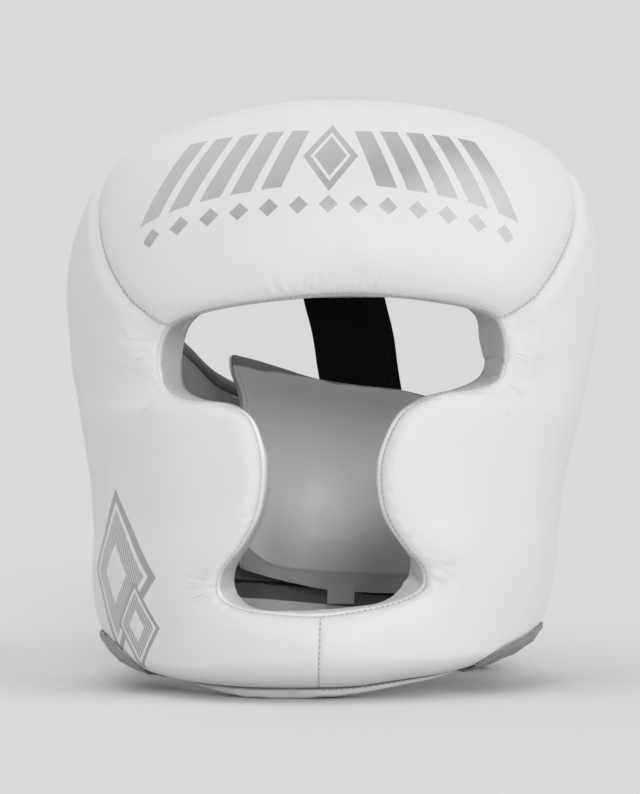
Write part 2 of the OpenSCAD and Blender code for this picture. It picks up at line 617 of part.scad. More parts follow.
module outer_flap_cover() {
    color(white_leather) slab(outer_grid(true, 0), outer_grid(true, cover_t));
}

module outer_flap_foam() {
    color(pale_foam) slab(outer_grid(true, cover_t + play), outer_grid(false, lining_t + play));
}

module outer_flap_lining() {
    color(dark_cloth) slab(outer_grid(false, lining_t), outer_grid(false, 0));
}

// The dark binding that rolls over the outer flap's upper edge
module outer_flap_roll() {
    mid = outer_flap_pad * 0.3;
    color(dark_cloth) tube([for (q = [0.03, 0.1, 0.18, 0.26, 0.34, 0.45, 0.6, 0.75, 0.87])
        let (top = curve(OUTER_TOP, q) - nip(q, outer_span, outer_round) + play * 2 + roll_d / 2)
        [for (k = [0:7]) let (c = 45 * k)
            form(-root_turn - q * outer_span, top + roll_d / 2 * sin(c),
                 outer_base(q) + mid + outer_flap_pad * 0.4 * cos(c))]]);
}

module outer_hook_patch() {
    places = [for (q = flap_q) if (q > 0.4 && q < 0.8) q];
    function patch(w) = [for (q = places) [for (h = patch_hs) outer_at(q, h, w)]];
    color(dark_cloth) slab(patch(-play * 0.5), patch(-flap_gap * 0.5));
}

// The rear strap: its lower end is sewn to the outer flap, and its upper end grips the crown
strap_base = inner_flap_pad + patch_t + flap_gap + play + outer_flap_pad + play;
function strap_mid(v) = strap_x + tan(strap_slant) * (dome_z - v);
module strap_anchor() {
    heights = [for (u = [0, 0.25, 0.5, 0.75, 1]) mix(strap_low_z, strap_bend_z, u)];
    function grid(w) = [for (v = heights) [for (k = strap_k)
        back_at(strap_mid(v) + k * strap_w / 2, v, w)]];
    color(black_web) slab(grid(strap_base + strap_t), grid(strap_base));
}

// The strap lies on the patches at its top, and on the outer flap at its lower end
strap_k = [-1, -0.8, -0.4, 0, 0.4, 0.8, 1];
strap_v = [for (u = [0:0.1:1]) mix(strap_bend_z + play, strap_top_v, u)];
tail_low_v = dome_z + (180 - crown_end_a) / 180 * PI * dome_h;
function strap_out(v) =
    mix(strap_base, crown_out, ease((v - strap_bend_z) / (tail_low_v - strap_bend_z)));
module rear_strap() {
    function grid(up) = [for (v = strap_v) [for (k = strap_k)
        back_at(strap_mid(v) + k * strap_w / 2, v, strap_out(v) + up)]];
    color(black_web) slab(grid(strap_t), grid(0));
}

module strap_hook_patch() {
    function patch(down) = [for (v = strap_v) if (v > tail_low_v && v < strap_top_v)
        [for (k = strap_k) if (abs(k) < 1)
            back_at(strap_mid(v) + k * strap_w / 2, v, strap_out(v) - down)]];
    color(black_web) slab(patch(play), patch(play + patch_t));
}

forehead_cover();
forehead_foam();
forehead_lining();
cheek_cover(left);  // cheek_cover_left
cheek_cover(right);  // cheek_cover_right
cheek_foam(left);  // cheek_foam_left
cheek_foam(right);  // cheek_foam_right
chin_foam(left);  // chin_foam_left
chin_foam(right);  // chin_foam_right
side_lining(left);  // side_lining_left
side_lining(right);  // side_lining_right
face_facing();
chin_lip();
jaw_strip(left);  // jaw_strip_left
jaw_strip(right);  // jaw_strip_right
ear_cover(left);  // ear_cover_left
ear_cover(right);  // ear_cover_right
ear_foam(left);  // ear_foam_left
ear_foam(right);  // ear_foam_right
ear_lining(left);  // ear_lining_left
ear_lining(right);  // ear_lining_right
ear_rim(left);  // ear_rim_left
ear_rim(right);  // ear_rim_right
ear_hem(left);  // ear_hem_left
ear_hem(right);  // ear_hem_right
crown_cover();
crown_foam();
crown_lining();
crown_piping();
crown_loop_patch();
inner_flap_cover();
inner_flap_foam();
inner_flap_lining();
inner_flap_band();
inner_loop_patch();
label_tab();
outer_flap_cover();
outer_flap_foam();
outer_flap_lining();
outer_flap_roll();
outer_hook_patch();
strap_anchor();
rear_strap();
strap_hook_patch();
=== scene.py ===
"""Leather, foam, cloth, webbing, stitching and prints of a boxing headguard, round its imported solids.

Lengths are in metres and angles in degrees. Every surface is an offset of one head form: a is the
angle round the head from the nose towards the wearer's left, v is the height along the surface,
and w is the distance out from the wearer's side.
"""

import math

import bpy
import numpy as np
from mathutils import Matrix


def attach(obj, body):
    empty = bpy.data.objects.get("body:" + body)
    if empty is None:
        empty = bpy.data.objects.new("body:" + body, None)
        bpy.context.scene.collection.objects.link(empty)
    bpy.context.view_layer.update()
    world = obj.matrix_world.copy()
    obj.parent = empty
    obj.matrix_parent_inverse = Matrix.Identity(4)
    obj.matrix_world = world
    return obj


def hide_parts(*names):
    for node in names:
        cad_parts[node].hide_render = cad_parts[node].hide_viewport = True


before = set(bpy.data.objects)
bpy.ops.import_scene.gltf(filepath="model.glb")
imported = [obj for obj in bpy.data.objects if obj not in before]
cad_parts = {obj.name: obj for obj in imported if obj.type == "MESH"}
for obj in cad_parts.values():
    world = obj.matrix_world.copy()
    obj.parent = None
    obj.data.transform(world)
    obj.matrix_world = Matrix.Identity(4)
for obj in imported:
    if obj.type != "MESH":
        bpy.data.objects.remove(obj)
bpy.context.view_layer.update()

bl_info = {
    "name": "Boxing headguard",
    "version": (1, 0, 0),
    "blender": (4, 5, 0),
    "location": "3D View > Sidebar > Headguard",
    "description": "Builds the visible pieces of a padded boxing headguard round its packed solids",
    "category": "Object",
}

LEFT, RIGHT = 1, -1
SIDES = {LEFT: "left", RIGHT: "right"}
SHELL, INNER, OUTER, STRAP = "shell", "inner_flap", "outer_flap", "strap"
MM = 0.001
# Metres of surface in a degree round the front and round the ears
FRONT_DEGREE = 0.002
EAR_DEGREE = 0.00175
# Stations: the corner seam of the opening and the middle of the chin
CORNER, LAST = 4, 19
# How squarish the head form is round its width and over its dome
ROUND_W, ROUND_H = 2.3, 2.35
# Width over which the padding falls towards the rim of a panel
RIM_FALL = 13 * MM
# Distances from the edge at which the flaps, the crown pad and the ear panels are stitched
FLAP_SEAM, CROWN_SEAM, EAR_SEAM, EAR_RIM_SEAM = 5 * MM, 3 * MM, 4.5 * MM, 3 * MM


def length(name, words, value):
    return bpy.props.FloatProperty(name=name, description=words, default=value, unit="LENGTH",
                                   subtype="DISTANCE", precision=4, min=0.0)


def degrees(name, words, value):
    return bpy.props.FloatProperty(name=name, description=words, default=value)


def colour(name, words, value):
    return bpy.props.FloatVectorProperty(name=name, description=words, default=value, size=3,
                                         subtype="COLOR", min=0.0, max=1.0)


def share_of(name, words, value):
    return bpy.props.FloatProperty(name=name, description=words, default=value, subtype="FACTOR",
                                   min=0.0, max=1.0)


class GuardForm(bpy.types.PropertyGroup):
    """Sizes of the head form and of the face opening, the same as the solids have"""

    temple: length("Temple", "Half width of the head space at the temples", 0.090)
    jaw: length("Jaw", "Half width of the head space at the jaw", 0.069)
    chin: length("Chin", "Depth of the head space from the ears to the chin bar", 0.103)
    brow: length("Brow", "Depth of the head space from the ears to the brow", 0.084)
    back: length("Back", "Depth of the head space from the ears to the back", 0.113)
    nape: length("Nape", "Depth of the head space from the ears to the nape", 0.092)
    dome_z: length("Dome foot", "Height at which the sides turn into the dome", 0.165)
    dome_h: length("Dome", "Height of the dome over its foot", 0.0735)
    lean: share_of("Lean", "Sideways lean of the soft shell for its height", 0.04)
    lean_z: length("Lean height", "Height at which the shell stands in the middle", 0.172)
    lift: length("Lift", "How far the jaw's left corner is lifted off its place", 0.0045)
    tail: length("Tail", "How far the crown pad's rear end is drawn up by the strap", 0.0023)
    middle_y: bpy.props.FloatProperty(name="Middle", default=-0.00055, unit="LENGTH",
                                      description="Place of the ears' plane, front to back")
    eye_top: length("Eye top", "Height of the top of the eye opening", 0.166)
    eye_low: length("Eye foot", "Height of the foot of the eye opening", 0.1214)
    eye_a: degrees("Eye angle", "Half angle of the eye opening", 38.8)
    gap_a: degrees("Gap angle", "Half angle of the gap between the cheek pads", 10.8)
    mouth_a: degrees("Mouth angle", "Half angle of the mouth end of the opening", 19.2)
    mouth_low: length("Chin bar top", "Height of the top of the chin bar", 0.0358)
    flare: share_of("Flare", "How much wider the opening is at the wearer's side", 0.17)
    seam_a: degrees("Ear seam", "Angle of the seam between side and ear panels", 82)
    hem_z: length("Hem", "Height of the pads' lower edge over the ground", 0.005)
    ear_a: degrees("Ear angle", "Angle of the middle of the ear hole", 103)
    ear_z: length("Ear height", "Height of the middle of the ear hole", 0.138)
    ear_w: length("Ear width", "Width of the ear hole", 0.024)
    ear_h: length("Ear hole height", "Height of the ear hole", 0.042)
    crown_end: degrees("Crown end", "Angle over the top at which the crown pad ends", 172)
    root_a: degrees("Root angle", "Angle at which both flaps are sewn on", 130)
    root_gap: length("Root gap", "Gap between a flap and the ear panel", 0.0003)
    inner_reach: degrees("Inner reach", "Angle that the inner flap reaches past the middle", 27)
    outer_reach: degrees("Outer reach", "Angle that the outer flap reaches past the middle", 32)


class GuardPads(bpy.types.PropertyGroup):
    """Thicknesses of padding, leather, cloth and webbing"""

    brow: length("Brow pad", "Padding over the forehead", 0.034)
    temple: length("Temple pad", "Padding over the temples", 0.030)
    cheek: length("Cheek pad", "Padding over the cheeks", 0.0345)
    chin: length("Chin pad", "Padding of the chin bar", 0.0285)
    rim: length("Rim pad", "Padding where the panels meet the opening", 0.026)
    seam: length("Seam pad", "Padding where the side and ear panels meet", 0.028)
    edge: length("Edge pad", "Padding at a bound outer edge", 0.009)
    crown: length("Crown pad", "Padding of the crown pad", 0.014)
    ear: length("Ear pad", "Padding round the ear hole", 0.024)
    inner: length("Inner flap pad", "Padding of the inner closing flap", 0.0075)
    outer: length("Outer flap pad", "Padding of the outer closing flap", 0.0095)
    lining: length("Lining", "Thickness of the lining", 0.0012)
    facing: length("Facing", "Thickness of the facing strip round the opening", 0.0012)
    play: length("Play", "Play between layers", 0.0003)
    patch: length("Patch", "Thickness of a hook or loop patch", 0.0012)
    flap_gap: length("Flap gap", "Gap between the two closing flaps", 0.0015)
    roll: length("Roll", "Height of the dark binding over the outer flap", 0.008)
    strap: length("Strap", "Thickness of the rear strap", 0.002)
    strap_w: length("Strap width", "Width of the rear strap", 0.040)
    strap_x: length("Strap place", "Distance of the strap from the middle, at the dome", 0.0045)
    slant: degrees("Strap slant", "Slant of the rear strap, as it was closed", 14.5)
    strap_top: length("Strap top", "Height of the strap's top, along the surface", 0.210)
    strap_bend: length("Strap bend", "Height at which the strap leaves the flap", 0.112)
    strap_low: length("Strap foot", "Height of the strap's lower end", 0.060)
    piping: length("Piping", "Thickness of the piping round the crown pad", 0.006)
    lip_w: length("Lip", "Width of the folded lip under the chin bar", 0.013)
    strip_h: length("Jaw strip height", "Greatest height of those strips on the pads' face", 0.021)


class GuardLook(bpy.types.PropertyGroup):
    """Colours, and the depth of wrinkles and seams"""

    leather: colour("Leather", "Colour of the white leather", (0.83, 0.83, 0.83))
    facing: colour("Facing", "Colour of the leather that faces the opening", (0.80, 0.80, 0.80))
    lining: colour("Lining", "Colour of the grey lining", (0.50, 0.50, 0.495))
    flap: colour("Inner flap lining", "Colour of the inner flap's lining", (0.93, 0.93, 0.925))
    olive: colour("Outer flap lining", "Colour of the outer flap's lining", (0.48, 0.48, 0.46))
    dark: colour("Binding", "Colour of the dark binding", (0.30, 0.30, 0.29))
    silver: colour("Silver leather", "Colour of the strips under the jaw", (0.30, 0.30, 0.305))
    web: colour("Webbing", "Colour of the black strap", (0.004, 0.004, 0.004))
    foil: colour("Foil", "Colour of the printed foil", (0.44, 0.44, 0.45))
    thread: colour("Thread", "Colour of the sewing thread", (0.57, 0.57, 0.56))
    pitch: length("Stitch pitch", "Length of one stitch", 0.0024)
    thread_d: length("Thread", "Thickness of the thread", 0.0004)
    wrinkle: length("Wrinkle", "Depth of the deepest wrinkles", 0.0006)
    dip: length("Seam dip", "Depth of the valley along a seam", 0.0042)


def form_sizes():
    return bpy.context.scene.guard_form


def pad_sizes():
    return bpy.context.scene.guard_pads


def look():
    return bpy.context.scene.guard_look


# The head form


def mix(a, b, u):
    return a * (1 - u) + b * u


def ease(u):
    c = np.clip(u, 0, 1)
    return c * c * (3 - 2 * c)


def close_to(distance, wide, power=1):
    """Falls from 1 at a place to 0 at some width away from it."""
    return np.clip(1 - distance / wide, 0, 1) ** power


def bell(x, middle=0, wide=1):
    """A smooth hump of height 1 round a middle."""
    return np.exp(-(((x - middle) / wide) ** 2))


def unit(vectors):
    return vectors / np.maximum(np.linalg.norm(vectors, axis=-1, keepdims=True), 1e-12)


def closed(rows):
    """Rows with the first one once more at the end."""
    return np.concatenate([rows, rows[:1]])


def spline(rows, i, u):
    """Between rows i and i + 1 of a table, on a smooth curve through all its rows."""
    p0, p1, p2, p3 = (rows[(i + k) % len(rows)] for k in (-1, 0, 1, 2))
    return (2 * p1 + (p2 - p0) * u + (2 * p0 - 5 * p1 + 4 * p2 - p3) * u**2
            + (3 * p1 - 3 * p2 + p3 - p0) * u**3) / 2


def curve(table, x):
    """A smooth curve through a table of place and value pairs."""
    xs, ys = np.array(table, float).T
    n = np.arange(len(xs))
    low, high = np.maximum(n - 1, 0), np.minimum(n + 1, len(xs) - 1)
    slope = (ys[high] - ys[low]) / (xs[high] - xs[low])
    i = np.clip(np.searchsorted(xs, x, side="right") - 1, 0, len(xs) - 2)
    h = xs[i + 1] - xs[i]
    u = np.clip((x - xs[i]) / h, 0, 1)
    return ((2 * u**3 - 3 * u**2 + 1) * ys[i] + (u**3 - 2 * u**2 + u) * slope[i] * h
            + (3 * u**2 - 2 * u**3) * ys[i + 1] + (u**3 - u**2) * slope[i + 1] * h)


# Where the soft pads stand off their place: place, reach, and push aside and up in millimetres
PUSHES = [(-66, 142, 17, 26, 2.4, 0), (-24, 93, 16, 30, -1.9, 0), (24, 93, 13, 30, -1.3, 0),
          (102, 48, 26, 34, -2.4, 0), (-14, 166, 30, 12, 0, -1.5), (46, 163, 20, 11, 0, 1.0),
          (64, 153, 16, 12, 0, 1.8), (50, 121, 20, 13, 0, 3.2), (26, 38, 28, 10, 0, 1.8),
          (24, 6, 16, 14, 0, 1.3), (-63, 128, 12, 10, -3.0, -0.6),
          (63, 131, 10, 9, 1.9, 0)]
# Shares of the way between two widths or depths, by share of the dome's foot
SIDE = [[0, -0.14], [0.09, -0.07], [0.2, 0], [0.42, 0], [0.53, 0.07], [0.64, 0.29], [0.75, 0.62],
        [0.85, 0.88], [1, 1]]
FRONT = [[0, 0.68], [0.11, 1], [0.24, 0.95], [0.39, 0.68], [0.55, 0.47], [0.73, 0.26],
         [0.85, 0.1], [1, 0]]
REAR = [[0, 0], [0.24, 0.1], [0.48, 0.38], [0.73, 0.86], [1, 1]]


def dome(k):
    """Height at a share of the dome's own height."""
    return form_sizes().dome_z + form_sizes().dome_h * k


def form(a, v, w):
    """Points of the head form at angle a, height v and distance out w."""
    g = form_sizes()
    a, v, w = np.broadcast_arrays(np.asarray(a, float), v, w)
    s, c = np.sin(np.radians(a)), np.cos(np.radians(a))
    share = np.minimum(v, g.dome_z) / g.dome_z
    across = mix(g.jaw, g.temple, curve(SIDE, share))
    along = np.where(c > 0, mix(g.brow, g.chin, curve(FRONT, share)),
                     mix(g.nape, g.back, curve(REAR, share)))
    r = (np.abs(s / across) ** ROUND_W + np.abs(c / along) ** ROUND_W) ** (-1 / ROUND_W)
    rise = np.clip((v - g.dome_z) / g.dome_h, 0, math.pi / 2)
    up, flat = np.sin(rise), np.cos(rise)
    bulge = (np.abs(flat) ** ROUND_H + up**ROUND_H) ** (-1 / ROUND_H)
    over = v > g.dome_z
    out = np.where(over, bulge * flat, 1) * r + w * flat
    z = np.where(over, dome(bulge * up), v) + w * up
    x, y = out * s + g.lean * (z - g.lean_z), g.middle_y - out * c
    # The soft chin bar stands on its middle and is lifted at the wearer's left
    z = z + g.lift * ease((x - 0.008) / 0.055) * ease((0.05 - y) / 0.11) * close_to(z, 0.14, 1.5)
    z = z + g.tail * ease((y - 0.05) / 0.05) * ease((z - 0.150) / 0.022)
    aside = up = 0
    for at_x, at_z, wide, tall, right, high in PUSHES:
        near = bell(x * 1000, at_x, wide) * bell(z * 1000, at_z, tall) * ease(-y / 0.04) * MM
        aside, up = aside + right * near, up + high * near
    return np.stack([x + aside, y, z + up], -1)


def stations():
    """Rows of the front panels' table: rim angle and height, edge angle and height, padding at
    the rim, in the middle and at the edge, how far the edge is rounded, and a bow in height."""
    g, p = form_sizes(), pad_sizes()

    def eye(a, drop):
        return [g.eye_a * a, mix(g.eye_top, g.eye_low, drop)]

    def nose(a, drop):
        return [mix(g.gap_a, g.mouth_a, a), mix(g.eye_low, g.mouth_low, drop)]

    def chin(a, drop):
        return [g.mouth_a * a, mix(g.eye_low, g.mouth_low, drop)]

    def side(k):
        return [g.seam_a, g.dome_z * k]

    rows = [
        (eye(0, 0), [0, dome(1.115)], 1, p.brow, p.edge, 38, 0),
        (eye(0.26, 0.02), [24, dome(1.09)], 1, p.brow, p.edge, 38, 0),
        (eye(0.51, 0.08), [44, dome(1.007)], 0, p.brow, p.edge, 38, 0),
        (eye(0.77, 0.17), [61, dome(0.9)], -1, p.brow, p.edge, 34, -2),
        (eye(0.935, 0.27), [77, dome(0.762)], -1, p.brow - 2 * MM, p.edge + MM, 28, -5),
        (eye(1, 0.45), [g.seam_a, dome(0.42)], -1, p.temple, p.seam - 2 * MM, 8, -2),
        (eye(0.995, 0.63), [g.seam_a, dome(0.068)], -1, p.temple - MM, p.seam, 6, 0),
        (eye(0.92, 0.83), side(0.88), 0, p.temple - 2 * MM, p.seam, 5, 0),
        (eye(0.75, 0.95), side(0.76), 2, p.temple, p.seam, 5, 0),
        (eye(0.54, 1), side(0.67), 3, p.cheek - 1.5 * MM, p.seam, 5, 0),
        (nose(0.47, 0.063), side(0.59), 4, p.cheek, p.seam, 5, 0),
        (nose(0.09, 0.215), side(0.52), 4, p.cheek + 0.5 * MM, p.seam, 5, 0),
        (nose(0, 0.36), side(0.455), 4, p.cheek + 0.5 * MM, p.seam, 5, 0),
        (nose(0.13, 0.53), side(0.38), 4, p.cheek, p.seam, 5, 0),
        (nose(0.53, 0.68), side(0.3), 3, p.cheek, p.seam, 5, 0),
        (nose(1, 0.805), [g.seam_a - 1, g.dome_z * 0.206], 1, p.cheek - 1.5 * MM,
         p.seam - 2 * MM, 8, 0),
        (chin(1, 0.91), [71, g.hem_z + 12 * MM], -1, p.chin + 2.5 * MM, p.seam - 12 * MM, 16, 0),
        (chin(0.77, 0.967), [45, g.hem_z + 2.5 * MM], -2, p.chin + 0.5 * MM, p.edge + MM, 16, 0),
        (chin(0.37, 0.99), [20, g.hem_z], -2, p.chin, p.edge, 16, 0),
        (chin(0, 1), [0, g.hem_z], -2, p.chin, p.edge, 16, 0)]
    return np.array([[*rim, *edge, p.rim + k * MM, middle, end, r * MM, bow * MM]
                     for rim, edge, k, middle, end, r, bow in rows])


RIM_A, RIM_V, EDGE_A, EDGE_V, PAD_RIM, PAD_MIDDLE, PAD_EDGE, ROUNDED, BOW = range(9)
MIRROR = np.array([-1, 1, -1, 1, 1, 1, 1, 1, 1])


def station(s):
    """The table's row at a station between its rows, on a smooth curve."""
    rows = stations()
    rows = np.vstack([rows[1] * MIRROR, rows, rows[-2] * MIRROR])
    s = np.abs(np.asarray(s, float))
    i = np.clip(np.floor(s).astype(int), 0, LAST - 1)
    return np.moveaxis(spline(rows, i + 1, (s - i)[..., None]), -1, 0)


def reach(st):
    """Length of a station's line over the pad, from rim to edge."""
    return np.hypot((st[EDGE_A] - st[RIM_A]) * FRONT_DEGREE, st[EDGE_V] - st[RIM_V])


def round_off(distance, radius):
    """How far a rounded edge has fallen at a distance from it, as a share."""
    return 1 - np.sqrt(1 - close_to(distance, radius) ** 2)


def edge_fall(st, t):
    return round_off((1 - t) * reach(st), st[ROUNDED]) * (st[PAD_MIDDLE] - st[PAD_EDGE])


def padding(st, t):
    """The solids' padding at a share t of a station's line."""
    rim = close_to(t * reach(st), RIM_FALL, 2) * (st[PAD_MIDDLE] - st[PAD_RIM])
    return st[PAD_MIDDLE] - rim - edge_fall(st, t)


def signed(side, s):
    """The side that a station is on: stations below 0 are on the other side."""
    return side * np.where(np.asarray(s) < 0, -1, 1)


def panel(side, s, t, w):
    """Points of the front panels at station s, share t from rim to edge and distance out w."""
    st = station(s)
    wide = 1 + form_sizes().flare * close_to(w, padding(st, t)) * (1 - t) ** 3
    a = mix(st[RIM_A] * wide, st[EDGE_A], t)
    v = mix(st[RIM_V], st[EDGE_V], t) + st[BOW] * 4 * t * (1 - t)
    return form(signed(side, s) * a, v, w)


def form_uv(side, s, t):
    """Place of a point of the front panels on the unrolled head form."""
    st = station(s)
    a = mix(st[RIM_A], st[EDGE_A], t) * signed(side, s)
    return np.stack([a * FRONT_DEGREE, mix(st[RIM_V], st[EDGE_V], t) + np.zeros_like(a)], -1)


# Grids of points


def run(points, axis):
    """Length run through along one axis of a grid of points."""
    steps = np.linalg.norm(np.diff(points, axis=axis), axis=-1)
    first = np.zeros_like(np.take(steps, [0], axis))
    return np.concatenate([first, np.cumsum(steps, axis)], axis)


def from_edges(points):
    """Distances of a grid's points from its first and last row, and first and last column."""
    along, across = run(points, 0), run(points, 1)
    return along, along[-1:] - along, across, across[:, -1:] - across


def pairs(rows, columns):
    """Two grids: each row's value and each column's value at every point."""
    return np.meshgrid(rows, columns, indexing="ij")


def evenly(point_at, start, stop, n):
    """Places between start and stop at which point_at gives points that lie evenly apart."""
    fine = np.linspace(start, stop, 30 * n // 4)
    gone = run(point_at(fine), 0)
    return np.interp(np.linspace(0, gone[-1], n), gone, fine)


def closer_at_ends(n, strength=0.6):
    """Shares from 0 to 1 that lie closer together at both ends."""
    k = np.linspace(0, 1, n)
    return k - strength * np.sin(2 * math.pi * k) / (2 * math.pi)


def normals(points, loop=False):
    """Unit normals of a grid of points."""
    if loop:
        along = (np.roll(points, -1, 0) - np.roll(points, 1, 0)) / 2
    else:
        along = np.gradient(points, axis=0)
    return unit(np.cross(along, np.gradient(points, axis=1)))


def waves(points, size, seed, count=7):
    """Slow unevenness between about -1 and 1, over places in space."""
    rng = np.random.default_rng(seed)
    total = np.zeros(points.shape[:-1])
    for _ in range(count):
        direction = rng.normal(size=3)
        direction *= 2 * math.pi / (size * rng.uniform(0.7, 1.5) * np.linalg.norm(direction))
        total += np.sin(points @ direction + rng.uniform(0, 6.3))
    return total / math.sqrt(count)


# Making meshes


def deselect():
    for o in bpy.context.selected_objects:
        o.select_set(False)


def activate(obj):
    deselect()
    obj.select_set(True)
    bpy.context.view_layer.objects.active = obj


def apply(obj, kind, **settings):
    """Adds a modifier to an object and applies it."""
    activate(obj)
    modifier = obj.modifiers.new(kind.title(), kind)
    for key, value in settings.items():
        setattr(modifier, key, value)
    bpy.ops.object.modifier_apply(modifier=modifier.name)


def grid(name, n, m):
    """A flat grid object of n by m points."""
    deselect()
    bpy.ops.mesh.primitive_grid_add(x_subdivisions=n - 1, y_subdivisions=m - 1, size=2)
    obj = bpy.context.object
    obj.name = obj.data.name = name
    return obj


def coordinates(obj):
    co = np.empty(len(obj.data.vertices) * 3, np.float32)
    obj.data.vertices.foreach_get("co", co)
    return co.reshape(-1, 3)


def places(obj, n, m):
    """Row and column that each point of a flat grid is in, and whether it is lifted off it."""
    co = coordinates(obj)
    return (np.rint((co[:, 0] + 1) / 2 * (n - 1)).astype(int),
            np.rint((co[:, 1] + 1) / 2 * (m - 1)).astype(int), co[:, 2] > 0.5)


def move_points(obj, co):
    obj.data.vertices.foreach_set("co", co.astype(np.float32).ravel())
    obj.data.update()


def edit(obj, *steps):
    """Runs edit mode steps on the whole of an object."""
    activate(obj)
    bpy.ops.object.mode_set(mode="EDIT")
    bpy.ops.mesh.select_all(action="SELECT")
    for step in steps:
        step()
    bpy.ops.object.mode_set(mode="OBJECT")


def outward():
    bpy.ops.mesh.select_all(action="SELECT")
    bpy.ops.mesh.normals_make_consistent(inside=False)


def merge():
    bpy.ops.mesh.remove_doubles(threshold=2e-6)


def set_uv(obj, uv):
    """Gives each corner the place of its point on the unrolled form."""
    corner = np.empty(len(obj.data.loops), np.int32)
    obj.data.loops.foreach_get("vertex_index", corner)
    layer = obj.data.uv_layers.active or obj.data.uv_layers.new(name="UVMap")
    layer.uv.foreach_set("vector", uv[corner].astype(np.float32).ravel())


def set_attribute(obj, name, values):
    attribute = obj.data.attributes.new(name, "FLOAT", "POINT")
    attribute.data.foreach_set("value", values.astype(np.float32).ravel())


def smooth(obj, angle=50):
    activate(obj)
    bpy.ops.object.shade_smooth_by_angle(angle=math.radians(angle))


def open_ends(obj):
    """Takes away the two walls of a block that face along X."""
    mesh = obj.data
    across = np.empty(len(mesh.polygons) * 3, np.float32)
    mesh.polygons.foreach_get("normal", across)
    for part in (mesh.vertices, mesh.edges, mesh.polygons):
        part.foreach_set("select", np.zeros(len(part), bool))
    mesh.polygons.foreach_set("select", np.abs(across.reshape(-1, 3)[:, 0]) > 0.9)
    activate(obj)
    bpy.ops.object.mode_set(mode="EDIT")
    bpy.ops.mesh.select_mode(type="FACE")
    bpy.ops.mesh.delete(type="ONLY_FACE")
    bpy.ops.object.mode_set(mode="OBJECT")


def on_grid(name, points, **marks):
    """An open surface on a grid of points, with marks on them for the material."""
    n, m = points.shape[:2]
    obj = grid(name, n, m)
    i, j, _ = places(obj, n, m)
    move_points(obj, points[i, j])
    for key, mark in marks.items():
        set_attribute(obj, key, mark[i, j])
    return obj


def slab(name, outer, inner, uv=None, loop=False, **marks):
    """A closed pad: a grid is extruded to a block, then its two faces take two grids of points.

    A pad that closes on itself loses the walls between its first and its last column. Marks are
    kept on its outer face for the material.
    """
    if loop:
        outer, inner = closed(outer), closed(inner)
        marks = {key: closed(mark) for key, mark in marks.items()}
    n, m = outer.shape[:2]
    obj = grid(name, n, m)
    edit(obj, lambda: bpy.ops.mesh.extrude_region_move(
        TRANSFORM_OT_translate={"value": (0, 0, 1)}))
    if loop:
        open_ends(obj)
    i, j, top = places(obj, n, m)
    move_points(obj, np.where(top[:, None], outer[i, j], inner[i, j]))
    if uv is not None:
        set_uv(obj, uv[i, j])
    for key, mark in marks.items():
        set_attribute(obj, key, np.where(top, mark[i, j], 0))
    edit(obj, *([merge] if loop else []), outward)
    smooth(obj)
    return obj


def sheet(name, points, thick, toward, loop=False, **marks):
    """A thin layer on a grid of points, thickened towards other points, round where it loops."""
    middle = points.shape[0] // 2, points.shape[1] // 2
    side = 1 if normals(points)[middle] @ (toward[middle] - points[middle]) > 0 else -1
    if loop:
        points = closed(points)
        marks = {key: closed(mark) for key, mark in marks.items()}
    obj = on_grid(name, points, **marks)
    if loop:
        edit(obj, merge)
    apply(obj, "SOLIDIFY", thickness=thick, offset=side, use_even_offset=False)
    edit(obj, outward)
    smooth(obj)
    return obj


def tube(name, rings):
    """A closed tube with caps through rings of points."""
    obj = on_grid(name, np.concatenate([rings, rings[:, :1]], 1))
    edit(obj, merge, lambda: bpy.ops.mesh.fill_holes(sides=0), outward)
    smooth(obj)
    return obj


def oval(sides, power=1):
    """Places round an oval, squarer where the power is below 1."""
    turn = np.linspace(0, 2 * math.pi, sides, endpoint=False)
    return (np.sign(k) * np.abs(k) ** power for k in (np.cos(turn), np.sin(turn)))


def new_object(name, data):
    obj = bpy.data.objects.new(name, data)
    bpy.context.scene.collection.objects.link(obj)
    return obj


def path(points):
    """A curve object through points."""
    data = bpy.data.curves.new("path", "CURVE")
    data.dimensions = "3D"
    line = data.splines.new("POLY")
    line.points.add(len(points) - 1)
    line.points.foreach_set("co", np.c_[points, np.ones(len(points))].ravel())
    return new_object("path", data)


def stitches(name, body, lines, pitch=None):
    """Rows of stitches: one stitch is modelled, then set in rows and bent along each line."""
    pitch, half = pitch or look().pitch, look().thread_d / 2
    rows = []
    for points in lines:
        gone = run(points, 0)
        count = max(int(gone[-1] / pitch), 2)
        even, step = np.linspace(0, gone[-1], count * 3), gone[-1] / count
        points = np.stack([np.interp(even, gone, points[:, k]) for k in range(3)], -1)
        points += 0.07 * MM * np.stack([waves(points, 0.004, k) for k in range(3)], -1)
        deselect()
        bpy.ops.mesh.primitive_uv_sphere_add(segments=6, ring_count=4, radius=1)
        stitch = bpy.context.object
        co = coordinates(stitch)[:, [2, 1, 0]]
        stretch = np.sign(co[:, :1]) * np.abs(co[:, :1]) ** 0.6
        # A stitch covers 0.62 of its pitch
        move_points(stitch, np.c_[(stretch * 0.62 + 1) * step / 2, co[:, 1:] * half])
        edit(stitch, outward)
        line = path(points)
        apply(stitch, "ARRAY", count=count, use_relative_offset=False, use_constant_offset=True,
              constant_offset_displace=(step, 0, 0))
        apply(stitch, "CURVE", object=line, deform_axis="POS_X")
        bpy.data.objects.remove(line)
        rows.append(stitch)
    for o in rows:
        o.select_set(True)
    obj = bpy.context.view_layer.objects.active = rows[0]
    if len(rows) > 1:
        bpy.ops.object.join()
    obj.name = obj.data.name = name
    smooth(obj, 60)
    finished(obj, body, "thread")


